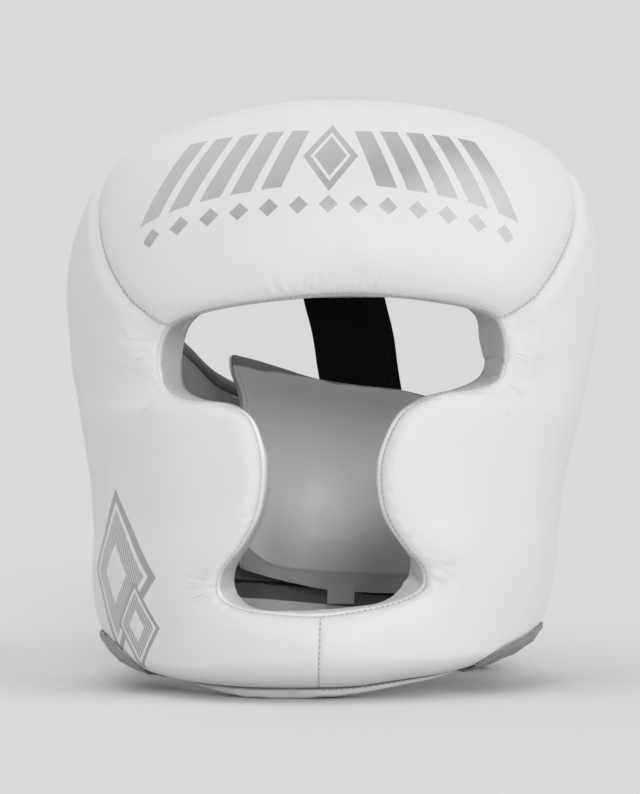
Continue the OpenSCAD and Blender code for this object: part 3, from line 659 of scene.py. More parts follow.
def cloth_piece(name, points, toward, body, material, node, carrier, held="stretched",
                thick=None, loop=False, size=None, **marks):
    """A sheet of cloth or leather. The piece that carries it, carrier, is not used.

    The flat size and the area that its grid of points unrolls to are worked out, but not kept.
    """
    obj = sheet(name, points, thick or pad_sizes().lining, toward, loop, **marks)
    finished(obj, body, material, node)
    size = size or [float(np.max(run(points, axis).take(-1, axis))) for axis in (0, 1)]
    along, across = (np.diff(points, axis=k) for k in (0, 1))
    tuple(max(k, 0.01) for k in size)


def leather_pad(name, outer, inner, from_seam, body, fill, *nodes, loop=False):
    """A pad of plain white leather, darker along its seams: part grime, part painted shade."""
    pad = slab(name, outer, inner, loop=loop, seam=seam_dirt_and_shade(from_seam))
    finished(pad, body, "white_leather", *nodes, fill=fill)


def tape(name, outer, inner, body, node):
    """A patch of hook or loop tape between two grids of points."""
    finished(slab(name, outer, inner), body, "hook_and_loop", node)


# Materials


class Wire:
    """What a node gives. Arithmetic on it adds nodes to the same finish."""

    def __init__(self, finish, socket):
        self.finish, self.socket = finish, socket

    def __add__(self, other):
        return self.finish.math("ADD", self, other)

    def __sub__(self, other):
        return self.finish.math("SUBTRACT", self, other)

    def __rsub__(self, other):
        return self.finish.math("SUBTRACT", other, self)

    def __mul__(self, other):
        return self.finish.math("MULTIPLY", self, other)

    def __truediv__(self, other):
        return self.finish.math("DIVIDE", self, other)

    def __mod__(self, other):
        return self.finish.math("MODULO", self, other)

    def __lt__(self, other):
        return self.finish.math("LESS_THAN", self, other)

    def __gt__(self, other):
        return self.finish.math("GREATER_THAN", self, other)

    def __abs__(self):
        return self.finish.math("ABSOLUTE", self)


def give(tree, socket, value):
    """Links a socket to what a node gives, or sets its value. A colour has three parts."""
    value = getattr(value, "socket", value)
    if isinstance(value, bpy.types.NodeSocket):
        tree.links.new(value, socket)
    else:
        socket.default_value = (*value, 1) if socket.type == "RGBA" else value


def add_node(tree, kind, inputs=(), **settings):
    node = tree.nodes.new(kind)
    for key, value in settings.items():
        setattr(node, key, value)
    for key, value in dict(inputs).items():
        give(tree, node.inputs[key], value)
    return node


class Finish:
    """A material under the making, and short ways to add nodes to it."""

    INPUTS = {"colour": "Base Color", "roughness": "Roughness", "metal": "Metallic",
              "normal": "Normal", "sheen": "Sheen Weight", "specular": "Specular IOR Level",
              "sheen_roughness": "Sheen Roughness"}

    def __init__(self, name):
        self.material = bpy.data.materials.new(name)
        self.material.use_nodes = True
        self.tree = self.material.node_tree
        self.shader = self.tree.nodes["Principled BSDF"]

    def node(self, kind, inputs=(), output=0, **settings):
        return Wire(self, add_node(self.tree, kind, inputs, **settings).outputs[output])

    def math(self, operation, *values, clamp=False):
        return self.node("ShaderNodeMath", dict(enumerate(values)), operation=operation,
                         use_clamp=clamp)

    def sine(self, value):
        return self.math("SINE", value)

    def most(self, *values):
        """The greatest of some values."""
        best, *others = values
        for value in others:
            best = self.math("MAXIMUM", best, value)
        return best

    def place(self):
        return self.node("ShaderNodeTexCoord", output="Object")

    def uv(self):
        return self.node("ShaderNodeUVMap", uv_map="UVMap")

    def parts(self, vector):
        """The parts of a vector along X, Y and Z."""
        node = add_node(self.tree, "ShaderNodeSeparateXYZ", {0: vector})
        return [Wire(self, socket) for socket in node.outputs]

    def noise(self, scale, detail=2.0, roughness=0.5, vector=None):
        return self.node("ShaderNodeTexNoise", {
            "Vector": vector or self.place(), "Scale": scale, "Detail": detail,
            "Roughness": roughness})

    def ramp(self, value, low, high, to_low, to_high):
        return self.node("ShaderNodeMapRange",
                         {0: value, 1: low, 2: high, 3: to_low, 4: to_high})

    def cloudy(self, scale, detail, to_low=0, to_high=1):
        """A soft noise, spread over a range."""
        return self.ramp(self.noise(scale, detail), 0.3, 0.7, to_low, to_high)

    def blend(self, share, first, second):
        """Mixes two colours."""
        return self.node("ShaderNodeMix", {0: share, 6: first, 7: second}, output=2,
                         data_type="RGBA")

    def bump(self, height, distance, strength=1.0, after=None):
        inputs = {"Height": height, "Distance": distance, "Strength": strength}
        if after is not None:
            inputs["Normal"] = after
        return self.node("ShaderNodeBump", inputs)

    def attribute(self, name):
        return self.node("ShaderNodeAttribute", output="Fac", attribute_name=name)

    def set(self, **values):
        for key, value in values.items():
            give(self.tree, self.shader.inputs[self.INPUTS[key]], value)
        return self.material


def tinted(colour, share):
    """A colour made darker or paler by a share."""
    return [min(c * share, 1) for c in colour]


def leather_skin(f, tint, grain=1.0):
    """Colour, roughness and fine grain of a smooth coated leather."""
    colour = f.blend(f.cloudy(22, 3), tinted(tint, 0.965), tint)
    # Darker along the seams: part grime, part painted shade
    seam_dirt_and_shade = f.attribute("seam") * f.cloudy(260, 2, 0.04, 0.17)
    colour = f.blend(seam_dirt_and_shade, colour, tinted(tint, 0.6))
    # A thin painted shadow line along the stitch row, standing in for the shade in its groove
    line = f.attribute("line") * f.ramp(f.noise(900, 2), 0.35, 0.65, 0.08, 0.30)
    colour = f.blend(line, colour, tinted(tint, 0.35))
    cells = f.node("ShaderNodeTexVoronoi", {"Vector": f.place(), "Scale": 780.0,
                                            "Smoothness": 0.6}, feature="SMOOTH_F1")
    normal = f.bump(f.noise(95, 3), 0.0004 * grain, 0.35)
    normal = f.bump(cells * 0.7 + f.noise(2600, 2), 0.00012 * grain, 0.3, normal)
    rough = f.ramp(f.noise(140, 4), 0.25, 0.75, 0.40, 0.52)
    return colour, rough, normal


def crease_lines(f, along, across, seed, thin):
    """Thin lines that run along one way: 1 in a crease and 0 beside it."""
    spot = f.node("ShaderNodeCombineXYZ", {0: across, 1: along, 2: seed})
    off = abs(f.noise(1.0, 0, 0.5, spot) - 0.5)
    return f.ramp(off, 0, thin, 1, 0) * f.ramp(f.noise(130, 1), 0.42, 0.62, 0.1, 1)


def fan(f, x, y, centre, radii, middle, spread, seed):
    """Fine creases that run out from a corner of the opening, in an angle round a middle way."""
    dx, dy = abs(x) - centre[0], y - centre[1]
    far = f.math("SQRT", dx * dx + dy * dy)
    turn = f.math("ARCTAN2", dy, dx)
    lines = crease_lines(f, far * 26, turn * 13, f.math("SIGN", x) * 3.3 + seed, 0.09)
    edge = f.noise(150, 1) * 0.008 + (far - 0.004)
    near = f.ramp(edge, *radii[:2], 0, 1) * f.ramp(edge, *radii[2:], 1, 0)
    return lines * (near * f.ramp(abs(turn - middle), spread * 0.5, spread, 1, 0))


def side_creases(f, x, y):
    """Creases at the outer corners of the eye and mouth openings."""
    return f.most(
        fan(f, x, y, (0.060, 0.147), (0.020, 0.024, 0.030, 0.042), -0.15, 0.55, 1.0),
        fan(f, x, y, (0.060, 0.139), (0.017, 0.023, 0.028, 0.036), -0.75, 0.5, 2.0),
        fan(f, x, y, (0.0350, 0.0475), (0.0045, 0.0065, 0.013, 0.024), 0.12, 0.95, 5.0))


def brow_pleats(f, x, y):
    """Short upright creases over the seam of the eye opening."""
    height = x * x * 2.3 + y - 0.166
    lines = crease_lines(f, height * 50, (height * -0.35 + x) * 200, 4.0, 0.06)
    top = f.noise(170, 1) * 0.012 + (height - 0.006)
    near = f.ramp(height, 0.0015, 0.003, 0, 1) * f.ramp(top, 0.003, 0.008, 1, 0)
    return lines * (near * f.ramp(abs(x - 0.010), 0.018, 0.04, 1, 0))


def brow_print(f, x, y):
    """A row of slanting bars, a lozenge, and a row of small lozenges under them."""
    x = x + 0.0025
    far, square = abs(x), x * x
    arc = square * 1.12 + y - 0.2058
    lean = arc * 0.5 + far
    bar = abs((lean - 0.0145) % 0.0128 - 0.0055) < 0.0043
    bars = bar * (abs(arc) < far * 0.03 + 0.0086) * ((lean > 0.0145) * (lean < 0.078))
    away = far / 0.0125 + abs(arc) / 0.0112
    lozenge = f.math("SUBTRACT", away < 1.0, abs(away - 0.66) < 0.07, clamp=True)
    low = abs(square * 1.33 + y - 0.191)
    small = f.math("PINGPONG", far, 0.0062) / 0.0040 + low / 0.0026
    return f.most(bars, lozenge, (small < 1.0) * (far < 0.0775))


def jaw_print(f, x, y):
    """Two hatched lozenges, the small one over the large one."""
    masks = []
    for centre, half in (((-0.101, 0.050), (0.034, 0.036)), ((-0.082, 0.029), (0.016, 0.019))):
        away = abs(x - centre[0]) / half[0] + abs(y - centre[1]) / half[1]
        solid, core, ring = away < 1.0, away < 0.36, abs(away - 0.8) < 0.045
        hatch = f.math("PINGPONG", y * 0.5 + x, 0.0009) > 0.00022
        bare = f.most(ring, core, (away < 0.76) * (1.0 - hatch))
        masks.append((f.math("SUBTRACT", solid, bare, clamp=True), solid))
    (large, _), (small, over) = masks
    return f.most(large * (1.0 - over), small)


def white_leather(name, creases=None, mask=None):
    """White leather, with creases pressed in and darkened a little as painted shade, and foil, rubbed
    thin in places, printed where a mask is 1.
    """
    f = Finish(name)
    colour, rough, normal = leather_skin(f, look().leather)
    metal = 0.0
    if creases:
        x, y, _ = f.parts(f.uv())
        height = creases(f, x, y)
        # Painted shade: the creases are darkened a little in colour
        colour = f.blend(height * 0.06, colour, (0.3, 0.3, 0.3))
        normal = f.bump(1.0 - height, 0.0004, 0.62, normal)
    if mask:
        shown = mask(f, x, y) * f.ramp(f.noise(420, 5, 0.7), 0.30, 0.42, 0.82, 1)
        foil = f.blend(f.cloudy(60, 4, 0.85, 1.1), (0.3, 0.3, 0.31), look().foil)
        colour = f.blend(shown, colour, foil)
        rough, metal = shown * -0.12 + rough, shown * 0.75
    return f.set(colour=colour, roughness=rough, normal=normal, metal=metal, specular=0.42)


def facing_leather(name):
    """Leather of the opening's facing, with painted light where it faces up and painted shade where it
    faces down.
    """
    f = Finish(name)
    colour, rough, normal = leather_skin(f, look().facing, 1.3)
    # Painted light where the facing faces up, painted shade where it faces down
    colour = f.blend(f.attribute("paler"), colour, tinted(look().facing, 1.2))
    colour = f.blend(f.attribute("dusky"), colour, tinted(look().facing, 0.7))
    return f.set(colour=colour, roughness=rough, normal=normal, specular=0.35)


def silver_leather(name):
    f = Finish(name)
    colour, rough, normal = leather_skin(f, look().silver, 1.6)
    return f.set(colour=colour, roughness=rough, normal=normal, metal=0.55, specular=0.4)


def cloth(name, tint, scale, depth, sheen, rough=0.8, hem=None):
    """A woven cloth: two sets of threads cross, and the colour is a little uneven.

    With a hem's colour, it has painted shade low down over a pale hem, and a thin fuzzy black line of
    painted shadow a little above the hem.
    """
    f = Finish(name)
    x, y, z = f.parts(f.place())
    weave = f.sine((y * 0.83 + x) * scale) * f.sine(z * scale)
    colour = f.blend(f.cloudy(30, 4), tinted(tint, 0.86), tinted(tint, 1.08))
    colour = f.blend(f.ramp(weave, -1, 1, 0.16, 0), colour, tinted(tint, 0.5))
    if hem:
        down = f.attribute("hem")
        # Painted shade, growing darker towards the hem
        colour = f.blend(f.ramp(down, -0.06, -0.02, 0, 0.72), colour, (0.02, 0.02, 0.02))
        colour = f.blend(f.ramp(down, 0, 0.0003, 0, 1), colour, hem)
        # A thin fuzzy black line of painted shadow a little above the hem
        to_shadow_line = f.noise(420, 3) * 0.0020 + down + 0.0068
        painted_shadow_line = f.ramp(abs(to_shadow_line), 0.0005, 0.0011, 0.9, 0)
        colour = f.blend(painted_shadow_line, colour, (0.008, 0.008, 0.008))
    normal = f.bump(weave, depth, 0.5, f.bump(f.noise(70, 4), 0.0006, 0.35))
    return f.set(colour=colour, roughness=f.cloudy(300, 3, rough - 0.06, rough + 0.08),
                 normal=normal, sheen=sheen, sheen_roughness=0.4, specular=0.25)


def flap_lining(name):
    """Smooth grey lining leather of the inner flap, with painted shade low down and near its top, and
    darker painted shade where its top edge turns over.
    """
    f = Finish(name)
    colour = f.blend(f.cloudy(26, 3), tinted(look().flap, 0.94), look().flap)
    # Painted shade low down and near the top
    colour = f.blend(f.attribute("worn"), colour, tinted(look().flap, 0.58))
    # Painted shade in the band where the top edge turns over
    colour = f.blend(f.attribute("turned"), colour, tinted(look().flap, 0.26))
    fine = f.bump(f.noise(1900, 3), 0.0001, 0.3, f.bump(f.noise(60, 3), 0.0006, 0.35))
    return f.set(colour=colour, roughness=f.cloudy(150, 3, 0.36, 0.48), normal=fine,
                 specular=0.45, sheen=0.1)


def webbing(name):
    """Black woven webbing with ribs along its length."""
    f = Finish(name)
    x, _, z = f.parts(f.place())
    ribs = f.sine(x * 5200)
    height = f.sine(z * 3600 + ribs * 0.8) * 0.5 + ribs
    colour = f.blend(f.ramp(height, -1.5, 1.5, 0, 1), tinted(look().web, 0.5),
                     tinted(look().web, 2.0))
    return f.set(colour=colour, roughness=0.9, normal=f.bump(height, 0.0002, 0.6), specular=0.15)


def loop_tape(name):
    """The fuzzy face of hook and loop tape."""
    f = Finish(name)
    fuzz = f.noise(1500, 5, 0.75)
    colour = f.blend(f.ramp(fuzz, 0.35, 0.65, 0, 1), (0.006, 0.006, 0.006), (0.035, 0.035, 0.035))
    return f.set(colour=colour, roughness=0.95, normal=f.bump(fuzz, 0.0006, 0.9), sheen=0.25,
                 specular=0.1)


def thread(name):
    f = Finish(name)
    twist = f.sine(f.noise(1200, 2) * 40)
    colour = f.blend(f.ramp(twist, -1, 1, 0, 1), tinted(look().thread, 0.7), look().thread)
    return f.set(colour=colour, roughness=0.7, normal=f.bump(twist, 0.00005, 0.5))


PALE_HEM, LABEL_GREY = (0.72, 0.72, 0.71), (0.55, 0.55, 0.54)
# What each material is made by, and the name of a slot for it, which nothing reads
MATERIALS = {
    "white_leather": (white_leather, "white_leather"),
    "side_leather": (lambda name: white_leather(name, side_creases), "white_leather"),
    "brow_leather": (lambda name: white_leather(name, brow_pleats, brow_print), "white_leather"),
    "printed_leather": (lambda name: white_leather(name, side_creases, jaw_print),
                        "white_leather"),
    "facing_leather": (facing_leather, "grey_lining"),
    "flap_lining": (flap_lining, "grey_lining"),
    "grey_lining": (lambda name: cloth(name, look().lining, 7000, 0.00008, 0.12, 0.62),
                    "grey_lining"),
    "silver_leather": (silver_leather, "silver_leather"),
    "olive_lining": (lambda name: cloth(name, look().olive, 6000, 0.0001, 0.1, 0.7, PALE_HEM),
                     "dark_cloth"),
    "dark_binding": (lambda name: cloth(name, look().dark, 5200, 0.00014, 0.08, 0.75),
                     "dark_cloth"),
    "label_cloth": (lambda name: cloth(name, LABEL_GREY, 6400, 0.00006, 0.1, 0.75),
                    "label_cloth"),
    "black_webbing": (webbing, "black_web"),
    "hook_and_loop": (loop_tape, "hook_and_loop"),
    "thread": (thread, None)}
made = {}


def finished(obj, body, material, *nodes, fill=None):
    """Gives a piece its material and its body, and hides the solids it stands for; its padding, fill,
    is not used.
    """
    make, slot = MATERIALS[material]
    if material not in made:
        made[material] = make(material)
    obj.data.materials.clear()
    obj.data.materials.append(made[material])
    for polygon in obj.data.polygons:
        polygon.material_index = 0
    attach(obj, body)
    if nodes:
        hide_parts(*nodes)
    return obj


# The front panels

# How far the pads roll down towards the opening, by station
ROLL = [[0, 17], [2, 17], [4, 20], [6, 26], [8, 18], [9.5, 12], [12, 11], [13.5, 13], [15, 26],
        [16, 24], [17.5, 16], [19, 14]]
# Where the facing's inner edge is drawn to, by station: millimetres aside and up, for the
# wearer's left and right
DRAWN = {
    LEFT: [[0, 0.1, 3.4], [1, 0, 3.4], [2, 0, 3.4], [3, 1.2, 3.3], [3.5, 1.8, 2.2], [4, 0.2, 0.4],
           [4.5, -1.2, 0], [5, -1.8, 0], [5.5, -1.2, 0.1], [6, -0.2, 0.1], [6.5, 1.0, -0.3],
           [7, 2.6, -1.4], [7.5, 4.4, -2.8], [8, 4.0, -3.1], [8.5, 2.2, -2.4], [9, 1.0, -1.2],
           [9.5, 1.2, -0.8], [10, 2.0, -1.2], [10.5, 2.4, -1.2], [11, 2.2, -0.9], [12, 2.3, 0],
           [13, 2.7, 1.0], [14, 3.2, 1.8], [14.5, 2.4, 1.0], [15, 0, 0], [15.5, -2, 0.8],
           [16, -2.7, 1.7], [16.5, -1.8, 1.5], [17, -0.4, 0.2], [17.5, 0, -0.8], [18, 0.2, -0.4],
           [19, 0, 0]],
    RIGHT: [[0, 0.1, 3.4], [1, -0.3, 3.4], [2, -0.5, 3.0], [3, -0.6, 3.2], [3.5, -1.0, 2.6],
            [4, -1.5, 0.9], [4.5, -0.9, 0.2], [5, -0.4, 0.1], [5.5, -0.6, 0.1], [6, -1.2, 0.1],
            [6.5, -1.6, -0.6], [7, -2.2, -1.6], [7.5, -4.0, -3.8], [8, -4.0, -4.0], [8.5, -2.6, -3.2],
            [9, -2.0, -2.6], [9.5, -3.0, -2.8], [10, -4.0, -3.2], [10.5, -3.8, -2.2],
            [11, -2.6, -1.2], [12, -1.4, 0], [13, -1.2, 0.1], [14, -0.5, 0.4], [15, 0.2, 0],
            [15.5, 0.9, 0.1], [16, 1.2, 0.6], [16.5, 0.5, 0.4], [17, -0.9, -0.7],
            [17.5, -0.2, -1.5], [18, 0, -0.9], [19, 0, 0]]}
# Wrinkles: stations, count, start and length from the rim in mm, depth share, width in mm, drift
BROW_FOLDS = [(-1.6, 2.3, 12, (1.5, 2.5), (5, 11), 0.5, 1.3, 0.15),
              (-3.9, 3.9, 40, (1.5, 2), (2.5, 7), 0.35, 1.4, 0.1)]
SIDE_FOLDS = [(4.8, 7.4, 7, (5, 14), (10, 24), 0.35, 2.0, 0.3),
              (14.6, 16.2, 6, (2, 5), (8, 18), 0.4, 1.5, 0.35),
              (7.4, 9.6, 4, (4, 9), (8, 18), 0.3, 2.2, 0.3),
              (4.1, 18.9, 90, (1.5, 2), (2, 7), 0.34, 1.5, 0.1)]
# How far the facing bulges out and how much it puckers, by station
FACING_BULGE = [[0, 0.2], [3, 0.2], [4.5, 0.3], [7, 0.4], [9, 0.3], [10, 0.6], [12, 1.2],
                [13.5, 1.0], [15, 0.5], [17, 0.4], [19, 0.5]]
FACING_PUCKERS = [[0, 0], [3.6, 0], [4.6, 1], [6.8, 1], [8, 0.2], [10, 0], [14.2, 0], [15.5, 0.5],
                  [17, 0.4], [18, 0.1], [19, 0]]
# How far the seam lies from the rim of the opening
RIM_SEAM = 0.95 * MM
# The rows of a jaw strip's grid that are stitched
STRIP_STITCHES = 6, 20


class Skin:
    """The outer leather of a front panel as a fine grid of points."""

    def __init__(self, side, start, stop, n, m, folds, seed):
        p = pad_sizes()
        place = [evenly(lambda s, t=t: panel(side, s, t, p.rim), start, stop, n) for t in (0, 0.35)]
        s, t = pairs(0.6 * place[0] + 0.4 * place[1], closer_at_ends(m))
        self.side, self.s, self.st = side, s, station(s)
        start = 0.7 * MM
        self.t = mix(start / reach(self.st), 1, t)
        self.base = panel(side, s, self.t, padding(self.st, self.t))
        *self.from_ends, from_start, self.from_edge = from_edges(self.base)
        self.from_rim = from_start + start
        self.w = self.profile() + self.folded(folds, np.random.default_rng(seed))

    def profile(self):
        """Padding that rolls down to the opening in two bends, and down to the outer edge."""
        st, d = self.st, self.t * reach(self.st)
        drop = st[PAD_MIDDLE] - st[PAD_RIM]
        tight = np.minimum(drop * 0.4, 2.4 * MM)
        rim = ((drop - tight) * close_to(d, curve(ROLL, np.abs(self.s)) * MM, 2.3)
               + tight * close_to(d, 5 * MM, 2) + 1.1 * MM * np.exp(-d / (0.8 * MM)))
        return st[PAD_MIDDLE] - rim - edge_fall(st, self.t)

    def folded(self, folds, rng):
        """Wrinkles that run out from the opening, each a groove between two low ridges."""
        total, along = np.zeros_like(self.s), self.from_ends[0]
        rim = along[:, 0]
        spacing = np.gradient(along, axis=0)
        stretch = spacing / spacing[:, :1]
        for low, high, count, first, long, depth, width, drift in folds:
            for _ in range(count):
                at = np.interp(rng.uniform(low, high), self.s[:, 0], rim)
                begin, size = rng.uniform(*first) * MM, rng.uniform(*long) * MM
                deep = depth * look().wrinkle * rng.uniform(0.4, 1.0)
                thin = width * MM * rng.uniform(0.7, 1.3)
                slant, bend = rng.normal(0, drift), rng.normal(0, drift) / 2
                u = (self.from_rim - begin) / size
                near = np.abs(rim - at) < 14 * MM
                line = at + slant * (self.from_rim[near] - begin) + bend * size * u[near] ** 2
                x = (rim[near, None] - line) * stretch[near] / thin
                shape = 0.55 * bell(np.abs(x), 2.1, 1.2) - bell(x)
                total[near] += deep * shape * ease(u[near] * 3) * ease((1 - u[near]) * 1.6)
        return total

    def valley(self, distance, depth, wide, cut):
        """Sinks a valley with a fine cut along a seam."""
        fall = depth * close_to(distance, wide, 2.2) + cut * MM * bell(distance, 0, 0.9 * MM)
        self.w = self.w - fall * np.clip(self.t * reach(self.st) / RIM_FALL, 0.25, 1)

    def pad(self, name, material, *nodes):
        """Makes the pad, a little uneven as hand-sewn leather is, and gives its face.

        The stitches along the rim are pressed in and their row gets a painted shadow line, and the
        seams are darkened, part grime and part painted shade.
        """
        line = bell(self.from_rim, RIM_SEAM, 0.5 * MM)
        self.w = self.w - 0.38 * MM * line + 0.35 * MM * waves(self.base, 0.055, 5)
        points = panel(self.side, self.s, self.t, self.w)
        first = (1.5 * MM + drawn_back(self.side, self.s)) / reach(self.st)
        under = panel(self.side, self.s, np.maximum(self.t, first),
                      pad_sizes().lining + pad_sizes().play)
        near = np.minimum.reduce([*self.from_ends, self.from_rim, self.from_edge])
        obj = slab(name, points, under, form_uv(self.side, self.s, self.t), seam=seam_dirt_and_shade(near),
                   line=line)
        finished(obj, SHELL, material, *nodes, fill=0.85)
        return points


def seam_dirt_and_shade(distance):
    """How much a seam darkens the leather at a distance from it: part grime, part painted shade."""
    return np.exp(-distance / (1.6 * MM))


def line_at(points, distance, value, axis=1):
    """The line on a grid of points where a distance has a value, lifted a little off it."""
    raised = points + normals(points) * 0.12 * MM
    if axis == 0:
        raised, distance = raised.swapaxes(0, 1), distance.swapaxes(0, 1)
    line = []
    for row, gone in zip(raised, distance):
        order = np.argsort(gone)
        line.append([np.interp(value, gone[order], row[order, k]) for k in range(3)])
    return np.array(line)


def drawn(side, s):
    """How far the facing's inner edge is drawn off its place, as a step in space."""
    step = [np.where(signed(side, s) > 0, *(curve(np.array(DRAWN[hand])[:, (0, k)], np.abs(s))
                                            for hand in (LEFT, RIGHT))) for k in (1, 2)]
    return np.stack([step[0], 0 * step[0], step[1]], -1) * MM


def drawn_back(side, s):
    """How far the facing's inner edge is drawn into the pad."""
    ahead = unit(panel(side, s, 0.08, 0) - panel(side, s, 0, 0))
    return np.maximum((drawn(side, s) * ahead).sum(-1), 0)


class GUARD_OT_forehead(bpy.types.Operator):
    """Forehead pad: leather over foam, gathered along the eye opening"""

    bl_idname = "guard.forehead"
    bl_label = "Forehead pad"

    def execute(self, context):
        skin = Skin(LEFT, -CORNER + 0.002, CORNER - 0.002, 300, 116, BROW_FOLDS, 11)
        for distance in skin.from_ends:
            skin.valley(distance, look().dip * 0.8, 10 * MM, 0.35)
        skin.w -= 2.2 * MM * close_to(skin.from_edge, 4 * MM, 2)
        points = skin.pad("forehead_pad", "brow_leather", "forehead_cover", "forehead_foam")
        rows = [line_at(points, skin.from_rim, RIM_SEAM)]
        rows += [line_at(points, distance, 0.6 * MM, 0)[6:-2] for distance in skin.from_ends]
        stitches("forehead_stitches", SHELL, rows)
        return {"FINISHED"}


def jaw_binding(side, hand, skin):
    """The silver strip that wraps a jaw corner's lower edge, with two rows of stitches."""
    p = pad_sizes()
    last, tall = (17.3, p.strip_h) if side == LEFT else (17.0, p.strip_h * 1.15)
    rows = np.flatnonzero((skin.s[:, 0] > 15.75) & (skin.s[:, 0] < last))
    s, k = pairs(skin.s[rows, 0], np.linspace(1, 0, 40))
    st = station(s)
    leaf = mix(0.25, 1, np.sin(math.pi * np.linspace(0, 1, len(rows)) ** 0.6) ** 0.8)[:, None]
    t = 1 - tall * leaf * k / reach(st)
    w = np.array([np.interp(t[i], skin.t[row], skin.w[row]) for i, row in enumerate(rows)])
    turned = 12
    edge_a, edge_v, pad_edge = (st[k][:, :turned] for k in (EDGE_A, EDGE_V, PAD_EDGE))
    under = form(side * edge_a, edge_v - p.play, pad_edge * np.linspace(1, 0.2, turned))
    points = np.concatenate([panel(side, s, t, w), under], 1)
    out = facing_out(points, panel(side, s, t, w + MM), (len(rows) // 2, 15))
    pucker = 0.3 * waves(points, 0.006, 70 + side) + 0.25 * waves(points, 0.015, 72 + side)
    along = np.arange(points.shape[1])
    for row in STRIP_STITCHES:
        pucker = pucker - 0.35 * bell(along, row, 1.3)
    lift = 0.7 + 0.9 * np.clip(along / turned, 0, 1) ** 0.5 + np.maximum(pucker, -0.3)
    points = points + out * (lift * MM)[..., None]
    cloth_piece(f"jaw_binding_{hand}", points, points - out, SHELL, "silver_leather",
                f"jaw_strip_{hand}", f"chin_foam_{hand}", thick=1.1 * MM)
    raised = points + out * 0.15 * MM
    stitches(f"jaw_stitches_{hand}", SHELL, [raised[2:-2, row] for row in STRIP_STITCHES])


def facing_out(points, outer, at):
    """Unit normals of a grid of points, turned to the side of an outer grid at one point."""
    out = normals(points)
    return out if out[at] @ (outer[at] - points[at]) > 0 else -out


class GUARD_OT_sides(bpy.types.Operator):
    """Side panels: each runs from the temple over the cheek to the middle of the chin bar"""

    bl_idname = "guard.sides"
    bl_label = "Side and cheek pads"

    def execute(self, context):
        for side, hand in SIDES.items():
            skin = Skin(side, CORNER + 0.002, LAST - 0.001, 380, 112, SIDE_FOLDS, 20 + side)
            corner, chin = skin.from_ends
            skin.valley(corner, look().dip * 0.85, 9 * MM, 0.35)
            skin.w -= 3.6 * MM * bell(corner, 4 * MM, 10 * MM) * bell(skin.from_rim, 8 * MM, 9 * MM)
            skin.w += 0.4 * MM * bell(corner, MM, 0.7 * MM)
            skin.valley(chin, look().dip * 0.18, 4 * MM, 0.1)
            at_ear = np.clip((15.4 - skin.s) / 1.2, 0, 1)
            skin.w -= MM * mix(2.0 * close_to(skin.from_edge, 4 * MM, 2),
                               1.6 * close_to(skin.from_edge, 7 * MM, 2.2), at_ear)
            points = skin.pad(f"cheek_pad_{hand}",
                              "printed_leather" if side == RIGHT else "side_leather",
                              f"cheek_cover_{hand}", f"cheek_foam_{hand}", f"chin_foam_{hand}")
            jaw_binding(side, hand, skin)
            rows = [line_at(points, skin.from_rim, RIM_SEAM)]
            if side == LEFT:
                rows.append(line_at(points, chin, 0.3 * MM, 0)[3:-2])
            stitches(f"side_stitches_{hand}", SHELL, rows)
        return {"FINISHED"}


class GUARD_OT_facing(bpy.types.Operator):
    """Facing strip that lines the whole face opening"""

    bl_idname = "guard.facing"
    bl_label = "Facing strip"

    def execute(self, context):
        p = pad_sizes()
        half = evenly(lambda s: panel(LEFT, s, 0, p.rim), 0, LAST, 420)
        hands = np.r_[np.ones(420), -np.ones(418)][:, None]
        s, k = pairs(np.r_[half, half[-2:0:-1]], np.r_[1, 0.985, np.linspace(0.96, 0, 20)])
        st, deep = station(s), 1 - k
        roll = np.sqrt(1 - close_to(deep, 0.22, 2)) * (1 - 0.5 * deep)
        gone = run(panel(hands, s, 0, p.rim * k), 0)
        rng = np.random.default_rng(4)
        pucker = np.zeros_like(s)
        for _ in range(90):
            at, wide = rng.uniform(0, gone[-1, 0]), rng.uniform(1.0, 2.4) * MM
            pucker += rng.uniform(0.1, 0.9) * bell(gone[:, :1], at, wide)
        pucker *= curve(FACING_PUCKERS, s) * np.minimum(3 * deep, 1)
        shift = MM * (1.1 * pucker - curve(FACING_BULGE, s) * roll
                      + 0.9 * close_to(deep * st[PAD_RIM], 2 * MM, 2))
        place = drawn(hands, s) * (deep**1.3)[..., None]
        points, deeper = (panel(hands, s, (shift + more) / reach(st), st[PAD_RIM] * k) + place
                          for more in (0, 2 * MM))
        up = normals(points, True)
        up = (up * np.sign((up * (points - deeper)).sum(-1, keepdims=True)))[..., 2]
        # The facing's colour gets painted light where it faces up and painted shade where it faces down
        cloth_piece("face_facing_strip", points, deeper, SHELL, "facing_leather", "face_facing",
                    "side_lining_left", "gathered", p.facing, loop=True,
                    paler=0.95 * ease(up / 0.35), dusky=0.85 * ease(-up / 0.8))
        return {"FINISHED"}


class GUARD_OT_linings(bpy.types.Operator):
    """Cloth linings on the wearer's side of the front panels"""

    bl_idname = "guard.linings"
    bl_label = "Front linings"

    def execute(self, context):
        p = pad_sizes()
        for name, side, start, stop, node, carrier in (
                ("forehead_lining_cloth", LEFT, -CORNER, CORNER, "forehead_lining",
                 "forehead_foam"),
                ("side_lining_cloth_left", LEFT, CORNER, LAST, "side_lining_left",
                 "cheek_foam_left"),
                ("side_lining_cloth_right", RIGHT, CORNER, LAST, "side_lining_right",
                 "cheek_foam_right")):
            even = evenly(lambda s: panel(side, s, 0.2, 0), start + 0.01, stop - 0.01, 130)
            s, t = pairs(even, closer_at_ends(50))
            t = mix((p.facing + p.play + drawn_back(side, s)) / reach(station(s)), 1, t)
            cloth_piece(name, panel(side, s, t, 0), panel(side, s, t, p.lining), SHELL,
                        "grey_lining", node, carrier)
        return {"FINISHED"}


